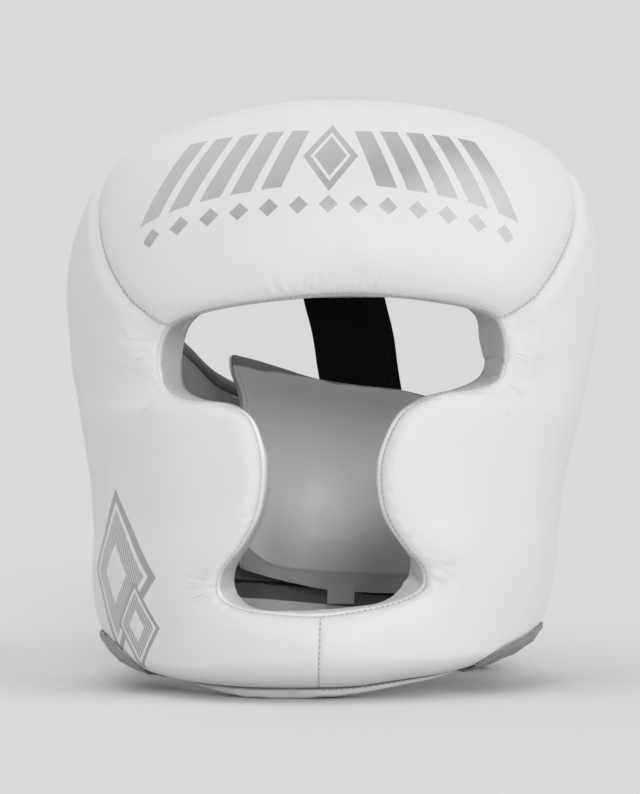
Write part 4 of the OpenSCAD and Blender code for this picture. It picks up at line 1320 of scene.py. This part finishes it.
def binding(name, places_on, full, node, seed):
    """A folded strip under a pad's edge, flat where it stands, with a wavy lower fold."""
    p = pad_sizes()
    a, v, pad = places_on
    x, y = oval(28, 0.6)
    base = form(a, v, pad)
    gone = run(base, 0)
    wave, ripple = (waves(base, size, seed + k)[:, None] for k, size in enumerate((0.022, 0.009)))
    end = np.clip(np.minimum(gone, gone[-1] - gone) / (5 * MM), 0.15, 1)[:, None] ** 0.5
    x = x * (1 - 0.06 * bell(y, 0.15, 0.16)) * end
    out = (pad / 2)[:, None] + x * (p.lip_w / 2 + (0.7 * wave + 0.4 * ripple) * MM * (x > 0))
    full = np.clip(full, 0.12, 1)[:, None]
    low = np.maximum(0.5 * wave + 0.4 * ripple, 0) * MM * np.clip(-y, 0, 1) * np.clip(x, 0, 1)
    tall = form_sizes().hem_z - p.play
    z = (v - p.play)[:, None] + (low - tall * (1 - y) / 2) * full
    rings = form(a[:, None], np.maximum(z, 0), out)
    finished(tube(name, rings), SHELL, "facing_leather", node)
    return rings


class GUARD_OT_feet(bpy.types.Operator):
    """Folded lip under the chin bar"""

    bl_idname = "guard.feet"
    bl_label = "Chin lip"

    def execute(self, context):
        s = np.linspace(-1.5, 1.75, 260)
        st = station(LAST - np.abs(s))
        full = curve([[-1.5, 0.1], [-1.1, 0.7], [-0.8, 1], [0, 1], [0.35, 0.75], [0.7, 0.6],
                      [1.1, 0.5], [1.45, 0.4], [1.75, 0.1]], s)
        rings = binding("chin_lip_fold", (np.sign(s) * st[EDGE_A], st[EDGE_V], st[PAD_EDGE]), full,
                        "chin_lip", 31)
        stitches("lip_stitches", SHELL, [rings[122:210, 2]])
        return {"FINISHED"}


# The ear panels


def ear_rows():
    """Rows round the panel: edge angle and height, padding at the edge, how far it is rounded."""
    g, p = form_sizes(), pad_sizes()
    seam, root, z = g.seam_a, g.root_a, g.dome_z
    return np.array([
        (seam, dome(0.62), p.seam - 8 * MM, 12), (seam, dome(0.33), p.seam - 2 * MM, 7),
        *((seam, z * k, p.seam, 5) for k in (1, 0.84, 0.68, 0.52, 0.38)),
        (seam, z * 0.24, p.seam - 2 * MM, 7), (seam + 4, z * 0.13, p.seam - 10 * MM, 12),
        (seam + 12, g.hem_z * 2, p.edge + 3 * MM, 14), (seam + 23, g.hem_z, p.edge + 2 * MM, 14),
        (seam + 35, g.hem_z, p.edge + 2 * MM, 14), (root - 4, g.hem_z * 2, p.edge + MM, 14),
        (root, z * 0.18, p.edge, 16), *((root, z * k, p.edge, 18) for k in (0.36, 0.56, 0.76)),
        (root - 1.5, z * 0.93, p.edge, 16), (root - 9, dome(0.22), p.edge, 16),
        (root - 22, dome(0.5), p.edge, 16), (root - 36, dome(0.68), p.edge + MM, 14)])


class Ear:
    """The ear panel as a grid of points: round the panel, and from the ear hole to its edge."""

    def __init__(self, side, n=300, m=64):
        g, rows = form_sizes(), ear_rows()
        e = np.linspace(0, len(rows), n, endpoint=False)
        row = spline(rows, e.astype(int), (e % 1)[:, None])
        edge_a = np.clip(row[:, 0], g.seam_a, g.root_a)
        edge_v = np.maximum(row[:, 1], g.hem_z)
        c = np.arctan2(edge_v - g.ear_z, (edge_a - g.ear_a) * EAR_DEGREE)
        rim_a = g.ear_a + g.ear_w / 2 * np.cos(c) / EAR_DEGREE
        rim_v = g.ear_z + g.ear_h / 2 * np.sin(c)
        self.ends = [np.stack(k)[..., None] for k in ((rim_a, rim_v), (edge_a, edge_v))]
        self.side, self.edge_pad, self.edge_round = side, row[:, 2:3], row[:, 3:] * MM
        self.long = np.hypot((edge_a - rim_a) * FRONT_DEGREE, edge_v - rim_v)[:, None]
        self.t = np.broadcast_to(closer_at_ends(m), (n, m))
        self.sewn = ease((g.seam_a + 1.5 - edge_a) / 1.5)[:, None]

    def at(self, t, w):
        a, v = mix(*self.ends, t)
        return form(self.side * a, v, w)

    def padding(self, t):
        full = pad_sizes().ear + 3 * MM
        fall = round_off((1 - t) * self.long, self.edge_round)
        return full - close_to(t * self.long, RIM_FALL, 2) * 8 * MM - fall * (full - self.edge_pad)


class GUARD_OT_ears(bpy.types.Operator):
    """Ear panels, each with its hole, lining, rolled rim and lower hem"""

    bl_idname = "guard.ears"
    bl_label = "Ear panels"

    def execute(self, context):
        p, g = pad_sizes(), form_sizes()
        for side, hand in SIDES.items():
            ear = Ear(side)
            t = mix((p.facing + p.play) / ear.long, 1 - p.play / ear.long, ear.t)
            w = ear.padding(t)
            base = ear.at(t, w)
            *_, from_rim, from_edge = from_edges(base)
            w = w - MM * mix(1.6 * close_to(from_edge, 3 * MM, 2),
                             1.8 * close_to(from_edge, 7 * MM, 2.2), ear.sewn)
            w += 0.3 * MM * waves(base, 0.05, 7)
            seams = (from_edge, EAR_SEAM), (from_rim, EAR_RIM_SEAM)
            for distance, at in seams:
                w -= 0.35 * MM * bell(distance, at, 0.65 * MM)
            points = ear.at(t, w)
            leather_pad(f"ear_pad_{hand}", points, ear.at(t, p.lining + p.play),
                        np.minimum(from_edge, from_rim), SHELL, 0.8, f"ear_cover_{hand}",
                        f"ear_foam_{hand}", loop=True)
            stitches(f"ear_stitches_{hand}", SHELL,
                     [closed(line_at(points, distance, at)) for distance, at in seams])
            cloth_piece(f"ear_lining_cloth_{hand}", ear.at(t[:, ::2], 0), points[:, ::2], SHELL,
                        "grey_lining", f"ear_lining_{hand}", f"ear_foam_{hand}", loop=True,
                        size=((g.root_a - g.seam_a) * EAR_DEGREE, dome(0.7)))
            k = np.linspace(1, 0, 18)[None, :]
            height = ear.padding(np.zeros_like(ear.t[:, :1]))
            curl = close_to((1 - k) * height, 3.5 * MM, 2)
            shift = (-0.7 * np.sin(math.pi * k) + 3.0 * curl) * MM
            rise = height * k + curl * 1.3 * MM
            cloth_piece(f"ear_hole_rim_{hand}", ear.at(shift / ear.long, rise),
                        ear.at((shift + 2 * MM) / ear.long, rise - 2 * MM * curl), SHELL,
                        "facing_leather", f"ear_rim_{hand}", f"ear_foam_{hand}",
                        thick=p.facing, loop=True)
            a = np.linspace(g.seam_a + 15, g.root_a - 7, 90)
            v = g.hem_z + 1.5 * MM * (ease(1 - (a - a[0]) / 8) + ease(1 - (a[-1] - a) / 5))
            binding(f"ear_hem_binding_{hand}", (side * a, v, np.full_like(a, p.edge + 2 * MM)),
                    mix(0.2, 1, ease((a - a[0]) / 16)), f"ear_hem_{hand}", 41 + side)
        return {"FINISHED"}


# The crown pad

# Angle to the side of the crown pad's edge, by angle over the top from the brow
CROWN = [[64, 32], [90, 30], [120, 23], [150, 15.5], [175, 13.5]]
CROWN_START = math.degrees(1.115) + 0.5


def crown_at(over, side_a, w):
    """A point of the crown by its angle over the top, from the brow, and its angle to the side."""
    over, side_a = np.radians(over), np.radians(side_a)
    x, y, z = np.sin(side_a), -np.cos(side_a) * np.cos(over), np.cos(side_a) * np.sin(over)
    return form(np.degrees(np.arctan2(x, -y)), dome(np.arcsin(np.clip(z, -1, 1))), w)


def crown_over(u, j):
    return mix(CROWN_START + 5.4 * np.abs(j) ** 3, form_sizes().crown_end, u)


def crown_thick(u, j):
    p = pad_sizes()
    end = np.minimum(u, 1 - u) / 0.12
    full = np.sqrt(np.clip((1 - np.abs(j)) * 3, 0, 1) * np.clip(end + 0.2, 0, 1))
    return mix(p.edge - 2 * MM, p.crown, full)


class GUARD_OT_crown(bpy.types.Operator):
    """Crown pad over the head, with its lining, piping and the loop band on its tail"""

    bl_idname = "guard.crown"
    bl_label = "Crown pad"

    def execute(self, context):
        p = pad_sizes()
        u, j = pairs(closer_at_ends(200, 0.5), closer_at_ends(90) * 2 - 1)
        over = crown_over(u, j)
        a = j * curve(CROWN, crown_over(u, 0))
        w = crown_thick(u, j)
        base = crown_at(over, a, w)
        *_, width, from_side = from_edges(base)
        seams = [np.abs(width - width[:, -1:] * share) for share in (1 / 3, 2 / 3)]
        for distance in seams:
            w = w - 3.0 * MM * np.exp(-((distance / (3.2 * MM)) ** 1.5)) * np.clip(u * 25, 0, 1)
        edge = np.minimum(width, from_side)
        w -= 1.5 * MM * close_to(edge, 4 * MM, 2)
        w += 0.3 * MM * waves(base, 0.045, 9) * np.clip(edge / (6 * MM), 0, 1)
        points = crown_at(over, a, w)
        leather_pad("crown_pad", points, crown_at(over, a, p.lining + p.play),
                    np.minimum.reduce([edge, *seams]), SHELL, 0.7, "crown_cover", "crown_foam")
        stitches("crown_stitches", SHELL,
                 [line_at(points, distance, CROWN_SEAM) for distance in (width, from_side)])
        cloth_piece("crown_lining_cloth", crown_at(over, a, 0), crown_at(over, a, p.lining), SHELL,
                    "grey_lining", "crown_lining", "crown_foam")
        self.piping(p)
        u, j = pairs(np.linspace(0.83, 0.96, 40), np.linspace(-0.8, 0.8, 60))
        over, a = crown_over(u, j), j * curve(CROWN, crown_over(u, 0))
        low = crown_thick(u, j) + p.play
        tape("crown_loop_band", crown_at(over, a, low + p.patch), crown_at(over, a, low), SHELL,
             "crown_loop_patch")
        return {"FINISHED"}

    def piping(self, p):
        """The piping runs up one side of the pad, round its rear end and back down the other."""
        degree = math.radians(form_sizes().temple)
        gap = (p.piping / 2 + p.play) / degree
        u = np.linspace(0.06, 0.985, 90)
        turn = np.linspace(0, math.pi / 2, 12)[1:-1]
        wide, crown_end = float(curve(CROWN, crown_over(1, 0))), form_sizes().crown_end
        over = np.r_[crown_over(u, 1), crown_end + gap * np.sin(turn)]
        a = np.r_[curve(CROWN, crown_over(u, 0)) + gap, wide + gap * np.cos(turn)]
        rear = np.linspace(1, -1, 26)[1:-1]
        over = np.r_[over, np.full_like(rear, crown_end + gap), over[::-1]]
        a = np.r_[a, rear * wide, -a[::-1]]
        middle = (p.edge - 2 * MM) / 2
        line = crown_at(over, a, middle)
        up = unit(crown_at(over, a, middle + MM) - line)
        across = unit(np.cross(np.gradient(line, axis=0), up))
        along = run(line, 0)
        full = np.sqrt(np.clip(np.minimum(along, along[-1] - along) / (9 * MM), 0.03, 1))
        wide, tall = (full[:, None, None] * size * 0.95 / 2 for size in (p.piping, p.edge))
        x, y = (k[:, None] for k in oval(14))
        rings = line[:, None] + across[:, None] * x * wide + up[:, None] * y * tall
        finished(tube("crown_edge_piping", rings), SHELL, "facing_leather", "crown_piping")


# The closing flaps

# Upper and lower edges by share of the way from root to free end, in millimetres
INNER_TOP = [[0, 118], [0.3, 123], [0.43, 127], [0.57, 129.5], [0.71, 133], [0.83, 138.5],
             [0.91, 142], [1, 145]]
INNER_LOW = [[0, 36], [0.35, 31], [0.64, 32], [0.83, 37], [1, 43]]
BAND_TOP = [[0, 42], [0.35, 39.8], [0.6, 40.6], [0.74, 41.8], [0.83, 43.4], [0.89, 46], [0.945, 50.5],
            [1, 57]]
OUTER_TOP = [[0, 148], [0.16, 141], [0.27, 128], [0.5, 114], [1, 108]]
OUTER_LOW = [[0, 30], [0.3, 22], [0.6, 16], [1, 17]]


class Flap:
    """A closing flap: q runs from its root to its free end, h from its lower to its upper edge."""

    def __init__(self, hand, top, low, reach_a, full, corner):
        self.hand, self.top, self.low, self.full, self.corner = hand, top, low, full, corner
        self.root = form_sizes().root_a + form_sizes().root_gap / EAR_DEGREE
        self.span = 180 + reach_a - self.root
        self.long = self.span * EAR_DEGREE / MM

    def nip(self, q):
        """How much the free end's corners are rounded off, in millimetres."""
        d = np.minimum((1 - q) * self.long, self.corner)
        return self.corner - np.sqrt(np.maximum(self.corner**2 - (self.corner - d) ** 2, 0))

    def height(self, q, h):
        return mix(curve(self.low, q) + self.nip(q), curve(self.top, q) - self.nip(q), h) * MM

    def swell(self, q, h):
        d = np.minimum.reduce([(1 - q) * self.long, h * 90, (1 - h) * 90, q * self.long + 4])
        return mix(self.full * 0.55, self.full, np.sqrt(np.clip(d / 12, 0, 1)))

    def base(self, q):
        """The inner flap lies on the head form, the outer one rises over it past its root."""
        p = pad_sizes()
        if self.hand == LEFT:
            return p.play + 0 * q
        return mix(p.play, over_inner(), ease((q * self.span - 2) / 15))

    def at(self, q, h, w):
        q, h = np.broadcast_arrays(q, h)
        z = self.height(q, h)
        turn = self.root + q * self.span
        if self.hand == LEFT:
            drawn_in = curve([[60, 0], [110, 3.5], [123, 4.5], [138, 0.4], [145, 0]], z / MM) * MM
            turn = turn - drawn_in / EAR_DEGREE * ease((q - 0.85) / 0.15)
        return form(self.hand * turn, z, self.base(q) + w)

    def grid(self, n, m, q=(0, 1), h=(0, 1)):
        return pairs(mix(*q, closer_at_ends(n, 0.5)), mix(*h, closer_at_ends(m)))


def over_inner():
    """Height of the outer flap's face over the head form, where it lies on the inner flap."""
    p = pad_sizes()
    return p.inner + p.patch + p.flap_gap + p.play


def flap_pad(name, flap, body, nodes, seed):
    """The leather back of a flap with its padding, and the stitches round it."""
    q, h = flap.grid(190, 90)
    w = flap.swell(q, h)
    base = flap.at(q, h, w)
    _, from_end, from_low, from_top = from_edges(base)
    edge = np.minimum.reduce([from_low, from_top, from_end])
    w = w - MM * (0.9 * close_to(edge, 2.5 * MM, 2) + 0.45 * bell(edge, FLAP_SEAM, 0.8 * MM)
                  - 0.3 * waves(base, 0.05, seed) * np.clip(edge / (8 * MM), 0, 1))
    points = flap.at(q, h, w)
    leather_pad(name, points, flap.at(q, h, pad_sizes().lining + 0.1 * MM), edge, body, 0.6,
                *nodes)
    stitches(f"{name}_stitches", body, [line_at(points, from_low, FLAP_SEAM)[4:-6],
                                        line_at(points, from_top, FLAP_SEAM)[4:-6],
                                        line_at(points, from_end, FLAP_SEAM, 0)[10:-10]])


class GUARD_OT_inner_flap(bpy.types.Operator):
    """Inner closing flap with its grey lining, sewn band, loop patch and blank cloth tab"""

    bl_idname = "guard.inner_flap"
    bl_label = "Inner flap"

    def execute(self, context):
        p = pad_sizes()
        flap = Flap(LEFT, INNER_TOP, INNER_LOW, form_sizes().inner_reach, p.inner, 2)
        flap_pad("inner_flap_pad", flap, INNER, ("inner_flap_cover", "inner_flap_foam"), 51)
        q, h = flap.grid(200, 110)
        face = flap.at(q, h, 0)
        _, from_end, _, from_top = from_edges(face)
        w = MM * (0.25 * bell(from_end, 2.4 * MM, 0.4 * MM) + 0.25 * waves(face, 0.04, 12)
                  - 0.5 * np.clip(np.minimum(from_top, from_end) / (3.5 * MM), 0, 1) ** 0.5)
        # The lining gets painted shade low down and near its top, and more in a band along its top edge
        # where it turns over; fold is that band's width
        fold = mix(0.8, 5.2, ease((q - 0.7) / 0.27)) * MM + 0.3 * MM * waves(face, 0.012, 14)
        worn = 0.8 * ease((0.42 - h) / 0.34) * ease((0.96 - q) / 0.12) + 0.4 * ease((h - 0.7) / 0.25)
        cloth_piece("inner_flap_facing", flap.at(q, h, w), flap.at(q, h, 3 * MM), INNER,
                    "flap_lining", "inner_flap_lining", "inner_flap_foam", thick=p.lining * 0.8,
                    turned=np.clip((fold - from_top) / (0.6 * MM), 0, 1), worn=worn)
        q, up = flap.grid(200, 24, (0.05, 0.998))
        low, high = curve(INNER_LOW, q), curve(INNER_TOP, q)
        h = mix(-0.004, (curve(BAND_TOP, q) - low) / (high - low), up)
        w = -0.35 - 0.75 * np.clip((1 - up) / 0.14, 0, 1) ** 0.5 + 0.3 * bell(up, 0.78, 0.07)
        band = flap.at(q, h, (w + 0.15 * waves(face, 0.01, 3)[:200, :24]) * MM)
        cloth_piece("inner_flap_band_cloth", band, flap.at(q, h, 2 * MM), INNER,
                    "grey_lining", "inner_flap_band", "inner_flap_lining", thick=0.6 * MM)
        toward = -facing_out(band, flap.at(q, h, 3 * MM), (80, 12))
        stitches("band_stitches", INNER, [(band + toward * 0.2 * MM)[3:-3, 18]])
        q, h = flap.grid(80, 40, (0.31, 0.92), (0.3, 0.7))
        w = p.inner + 2 * p.play - flap.base(q)
        tape("inner_loop_tape", flap.at(q, h, w + p.patch), flap.at(q, h, w), INNER,
             "inner_loop_patch")
        x, v = pairs(np.linspace(0, 15.5, 24), np.linspace(25, 34.5, 20))
        bend = 0.25 * MM * np.sin(x / 3.1) + 0.35 * MM * ((34.5 - v) / 10.5) ** 2
        tab = sheet("label_tab_cloth", back_at(x * MM, v * MM, bend - 1.4 * MM), 0.45 * MM,
                    back_at(x * MM, v * MM, MM))
        finished(tab, INNER, "label_cloth", "label_tab")
        return {"FINISHED"}


class GUARD_OT_outer_flap(bpy.types.Operator):
    """Outer closing flap with olive lining, dark rolled binding, hook patch and strap anchor"""

    bl_idname = "guard.outer_flap"
    bl_label = "Outer flap"

    def execute(self, context):
        p = pad_sizes()
        flap = Flap(RIGHT, OUTER_TOP, OUTER_LOW, form_sizes().outer_reach, p.outer, 9)
        flap_pad("outer_flap_pad", flap, OUTER, ("outer_flap_cover", "outer_flap_foam"), 61)
        q, h = flap.grid(200, 100)
        face = flap.at(q, h, 0)
        w = 0.35 * MM * (bell(run(face, 0), 21 * MM, 0.6 * MM)
                         + np.maximum(waves(face * (3, 3, 0.6), 0.03, 13), 0))
        # The olive lining gets painted shade low down and a painted shadow line over its pale hem
        cloth_piece("outer_flap_facing", flap.at(q, h, w), flap.at(q, h, 3 * MM), OUTER,
                    "olive_lining", "outer_flap_lining", "outer_flap_foam", thick=p.lining * 0.8,
                    hem=23.3 * MM - 0.106 * face[..., 0] - face[..., 2])
        start, stop = 0.03, 0.87
        q = np.linspace(start, stop, 150)
        top = (curve(OUTER_TOP, q) - flap.nip(q)) * MM + 2 * p.play + p.roll / 2
        a, base = flap.hand * (flap.root + q * flap.span), flap.base(q)
        end = np.clip(np.minimum(q - start, stop - q) / 0.015, 0.3, 1) ** 0.5
        full = (end * (1 + 0.05 * waves(form(a, top, base), 0.02, 17)))[:, None]
        x, y = (k * full for k in oval(20))
        rings = form(a[:, None], top[:, None] + p.roll / 2 * (0.85 * y - 0.15),
                     (base + p.outer * 0.3)[:, None] + p.outer * 0.4 * x)
        finished(tube("outer_flap_binding", rings), OUTER, "dark_binding", "outer_flap_roll")
        q, h = flap.grid(70, 40, (0.42, 0.78), (0.3, 0.7))
        tape("outer_hook_tape", flap.at(q, h, -0.5 * p.play), flap.at(q, h, -p.flap_gap / 2),
             OUTER, "outer_hook_patch")
        base = strap_base()
        web_strip("strap_anchor_web", p.strap_low, p.strap_bend, 60, lambda v: base + 0 * v, OUTER,
                  "strap_anchor")
        # A box of stitches with a cross in it
        inset = p.strap_w / 2 - 4 * MM
        low, high = p.strap_low + 4 * MM, p.strap_low + 34 * MM
        corners = [(-inset, low), (inset, low), (inset, high), (-inset, high), (-inset, low),
                   (inset, high), (-inset, high), (inset, low)]
        box, k = [], np.linspace(0, 1, 40)
        for (x0, v0), (x1, v1) in zip(corners, corners[1:]):
            v = mix(v0, v1, k)
            box.append(back_at(strap_middle(v) + mix(x0, x1, k), v, base + p.strap + 0.2 * MM))
        stitches("strap_box_stitches", OUTER, box, STRAP_PITCH)
        return {"FINISHED"}


# The rear strap

STRAP_PITCH = 3 * MM


def back_at(x, v, w):
    """A point behind the head by its distance from the middle plane."""
    return form(180 - np.degrees(np.arcsin(x / (form_sizes().back + w))), v, w)


def strap_middle(v):
    """The strap's middle line: slanted, and a little bowed where it hangs free."""
    p = pad_sizes()
    bow = 1.6 * bell(v, 0.155, 0.014) - 1.1
    return p.strap_x + bow * MM + math.tan(math.radians(p.slant)) * (form_sizes().dome_z - v)


def strap_base():
    return over_inner() + pad_sizes().outer + pad_sizes().play


def web_strip(name, low, high, n, out, body, node):
    """A length of flat webbing with bound edges behind the head."""
    p = pad_sizes()
    v, k = pairs(np.linspace(low, high, n), np.linspace(-1, 1, 45))
    thick = p.strap * (0.88 + 0.12 * np.cos(k * math.pi * 11)) * np.sqrt(1 - np.abs(k) ** 24 * 0.7)
    x, base = strap_middle(v) + k * p.strap_w / 2, out(v)
    obj = slab(name, back_at(x, v, base + thick), back_at(x, v, base))
    finished(obj, body, "black_webbing", node)


class GUARD_OT_strap(bpy.types.Operator):
    """Black rear strap that peels off the crown pad, with hooks inside its top"""

    bl_idname = "guard.strap"
    bl_label = "Rear strap"

    def execute(self, context):
        g, p = form_sizes(), pad_sizes()
        foot = dome(math.radians(180 - g.crown_end))
        base, top = strap_base(), p.crown + 4 * p.play + 2 * p.patch

        def out(v):
            return mix(base, top, ease((v - p.strap_bend) / (foot - p.strap_bend)))

        web_strip("rear_strap_web", p.strap_bend + p.play, p.strap_top, 150, out, STRAP,
                  "rear_strap")
        v, k = pairs(np.linspace(foot + MM, p.strap_top - MM, 50), np.linspace(-0.8, 0.8, 50))
        x, w = strap_middle(v) + k * p.strap_w / 2, out(v) - p.play
        tape("strap_hook_tape", back_at(x, v, w), back_at(x, v, w - p.patch), STRAP,
             "strap_hook_patch")
        v = np.linspace(p.strap_bend + 3 * MM, p.strap_top - 3 * MM, 120)
        inset = p.strap_w / 2 - 3.5 * MM
        stitches("strap_edge_stitches", STRAP,
                 [back_at(strap_middle(v) + x, v, out(v) + p.strap + 0.1 * MM)
                  for x in (-inset, inset)], STRAP_PITCH)
        return {"FINISHED"}


# The stage

# Lamps: way round from the front, height in degrees, strength, width in degrees
LAMPS = {"left_top": (-95, 60, 0.85, 90), "right": (60, 27, 0.82, 60), "front": (7, 17, 0.75, 14),
         "right_back": (115, 35, 0.13, 60), "back_top": (180, 60, 0.17, 90)}
WHITE, FLOOR_GREY, SHOWN_GREY = (1, 1, 1), (0.84, 0.84, 0.84), (0.694, 0.694, 0.694)


class GUARD_OT_stage(bpy.types.Operator):
    """Camera, floor, world and lamps"""

    bl_idname = "guard.stage"
    bl_label = "Stage"

    def execute(self, context):
        scene = context.scene
        scene.view_settings.view_transform = "Standard"
        turn, away, aim, height, roll = math.radians(1.0), 1.300, -0.0071, 0.124, 0.4
        camera = bpy.data.cameras.new("camera")
        camera.sensor_fit, camera.sensor_width, camera.lens = "HORIZONTAL", 36.0, 163.5
        camera.clip_start, camera.clip_end = 0.05, 200
        scene.camera = new_object("camera", camera)
        scene.camera.location = (aim * math.cos(turn) + away * math.sin(turn),
                                 aim * math.sin(turn) - away * math.cos(turn), height)
        scene.camera.rotation_euler = (math.pi / 2, math.radians(roll), turn)

        deselect()
        bpy.ops.mesh.primitive_plane_add(size=160)
        floor = context.object
        floor.name = floor.data.name = "floor"
        floor.data.materials.append(
            Finish("floor").set(colour=FLOOR_GREY, roughness=1.0, specular=0.0))

        # The backdrop is seen in one grey and lights in another strength
        world = scene.world = bpy.data.worlds.new("studio")
        world.use_nodes = True
        tree = world.node_tree
        lit = tree.nodes["Background"]
        give(tree, lit.inputs[0], WHITE)
        give(tree, lit.inputs[1], 0.335)
        shown = add_node(tree, "ShaderNodeBackground", {0: SHOWN_GREY})
        rays = add_node(tree, "ShaderNodeLightPath").outputs
        seen = rays["Is Camera Ray"]
        for kind in ("Is Glossy Ray", "Is Transmission Ray"):
            seen = add_node(tree, "ShaderNodeMath", {0: seen, 1: rays[kind]},
                            operation="MAXIMUM").outputs[0]
        choose = add_node(tree, "ShaderNodeMixShader",
                          {0: seen, 1: lit.outputs[0], 2: shown.outputs[0]})
        give(tree, tree.nodes["World Output"].inputs[0], choose.outputs[0])

        for name, (azimuth, elevation, strength, softness) in LAMPS.items():
            lamp = bpy.data.lights.new(name, "SUN")
            lamp.energy, lamp.angle = strength, math.radians(softness)
            obj = new_object(name, lamp)
            a, e = math.radians(azimuth), math.radians(elevation)
            obj.rotation_euler = (math.pi / 2 - e, 0, a)
            obj.location = (math.sin(a) * 2, -math.cos(a) * 2, 2)
        return {"FINISHED"}


class GUARD_PT_panel(bpy.types.Panel):
    """Sizes, colours and makers of the headguard"""

    bl_idname = "GUARD_PT_panel"
    bl_label = "Headguard"
    bl_space_type = "VIEW_3D"
    bl_region_type = "UI"
    bl_category = "Headguard"

    def draw(self, context):
        layout = self.layout
        for maker in MAKERS:
            layout.operator(maker.bl_idname)
        for group in (form_sizes(), pad_sizes(), look()):
            box = layout.box()
            for name in group.__annotations__:
                box.prop(group, name)


MAKERS = (GUARD_OT_stage, GUARD_OT_forehead, GUARD_OT_sides, GUARD_OT_facing, GUARD_OT_linings,
          GUARD_OT_feet, GUARD_OT_ears, GUARD_OT_crown, GUARD_OT_inner_flap, GUARD_OT_outer_flap,
          GUARD_OT_strap)
GROUPS = {"guard_form": GuardForm, "guard_pads": GuardPads, "guard_look": GuardLook}


def register():
    for group in GROUPS.values():
        bpy.utils.register_class(group)
    for name, group in GROUPS.items():
        setattr(bpy.types.Scene, name, bpy.props.PointerProperty(type=group))
    for maker in (*MAKERS, GUARD_PT_panel):
        bpy.utils.register_class(maker)


def unregister():
    for maker in reversed((*MAKERS, GUARD_PT_panel)):
        bpy.utils.unregister_class(maker)
    for name, group in GROUPS.items():
        delattr(bpy.types.Scene, name)
        bpy.utils.unregister_class(group)


def main():
    register()
    for maker in MAKERS:
        group, name = maker.bl_idname.split(".")
        getattr(getattr(bpy.ops, group), name)()


if __name__ == "__main__":
    main()
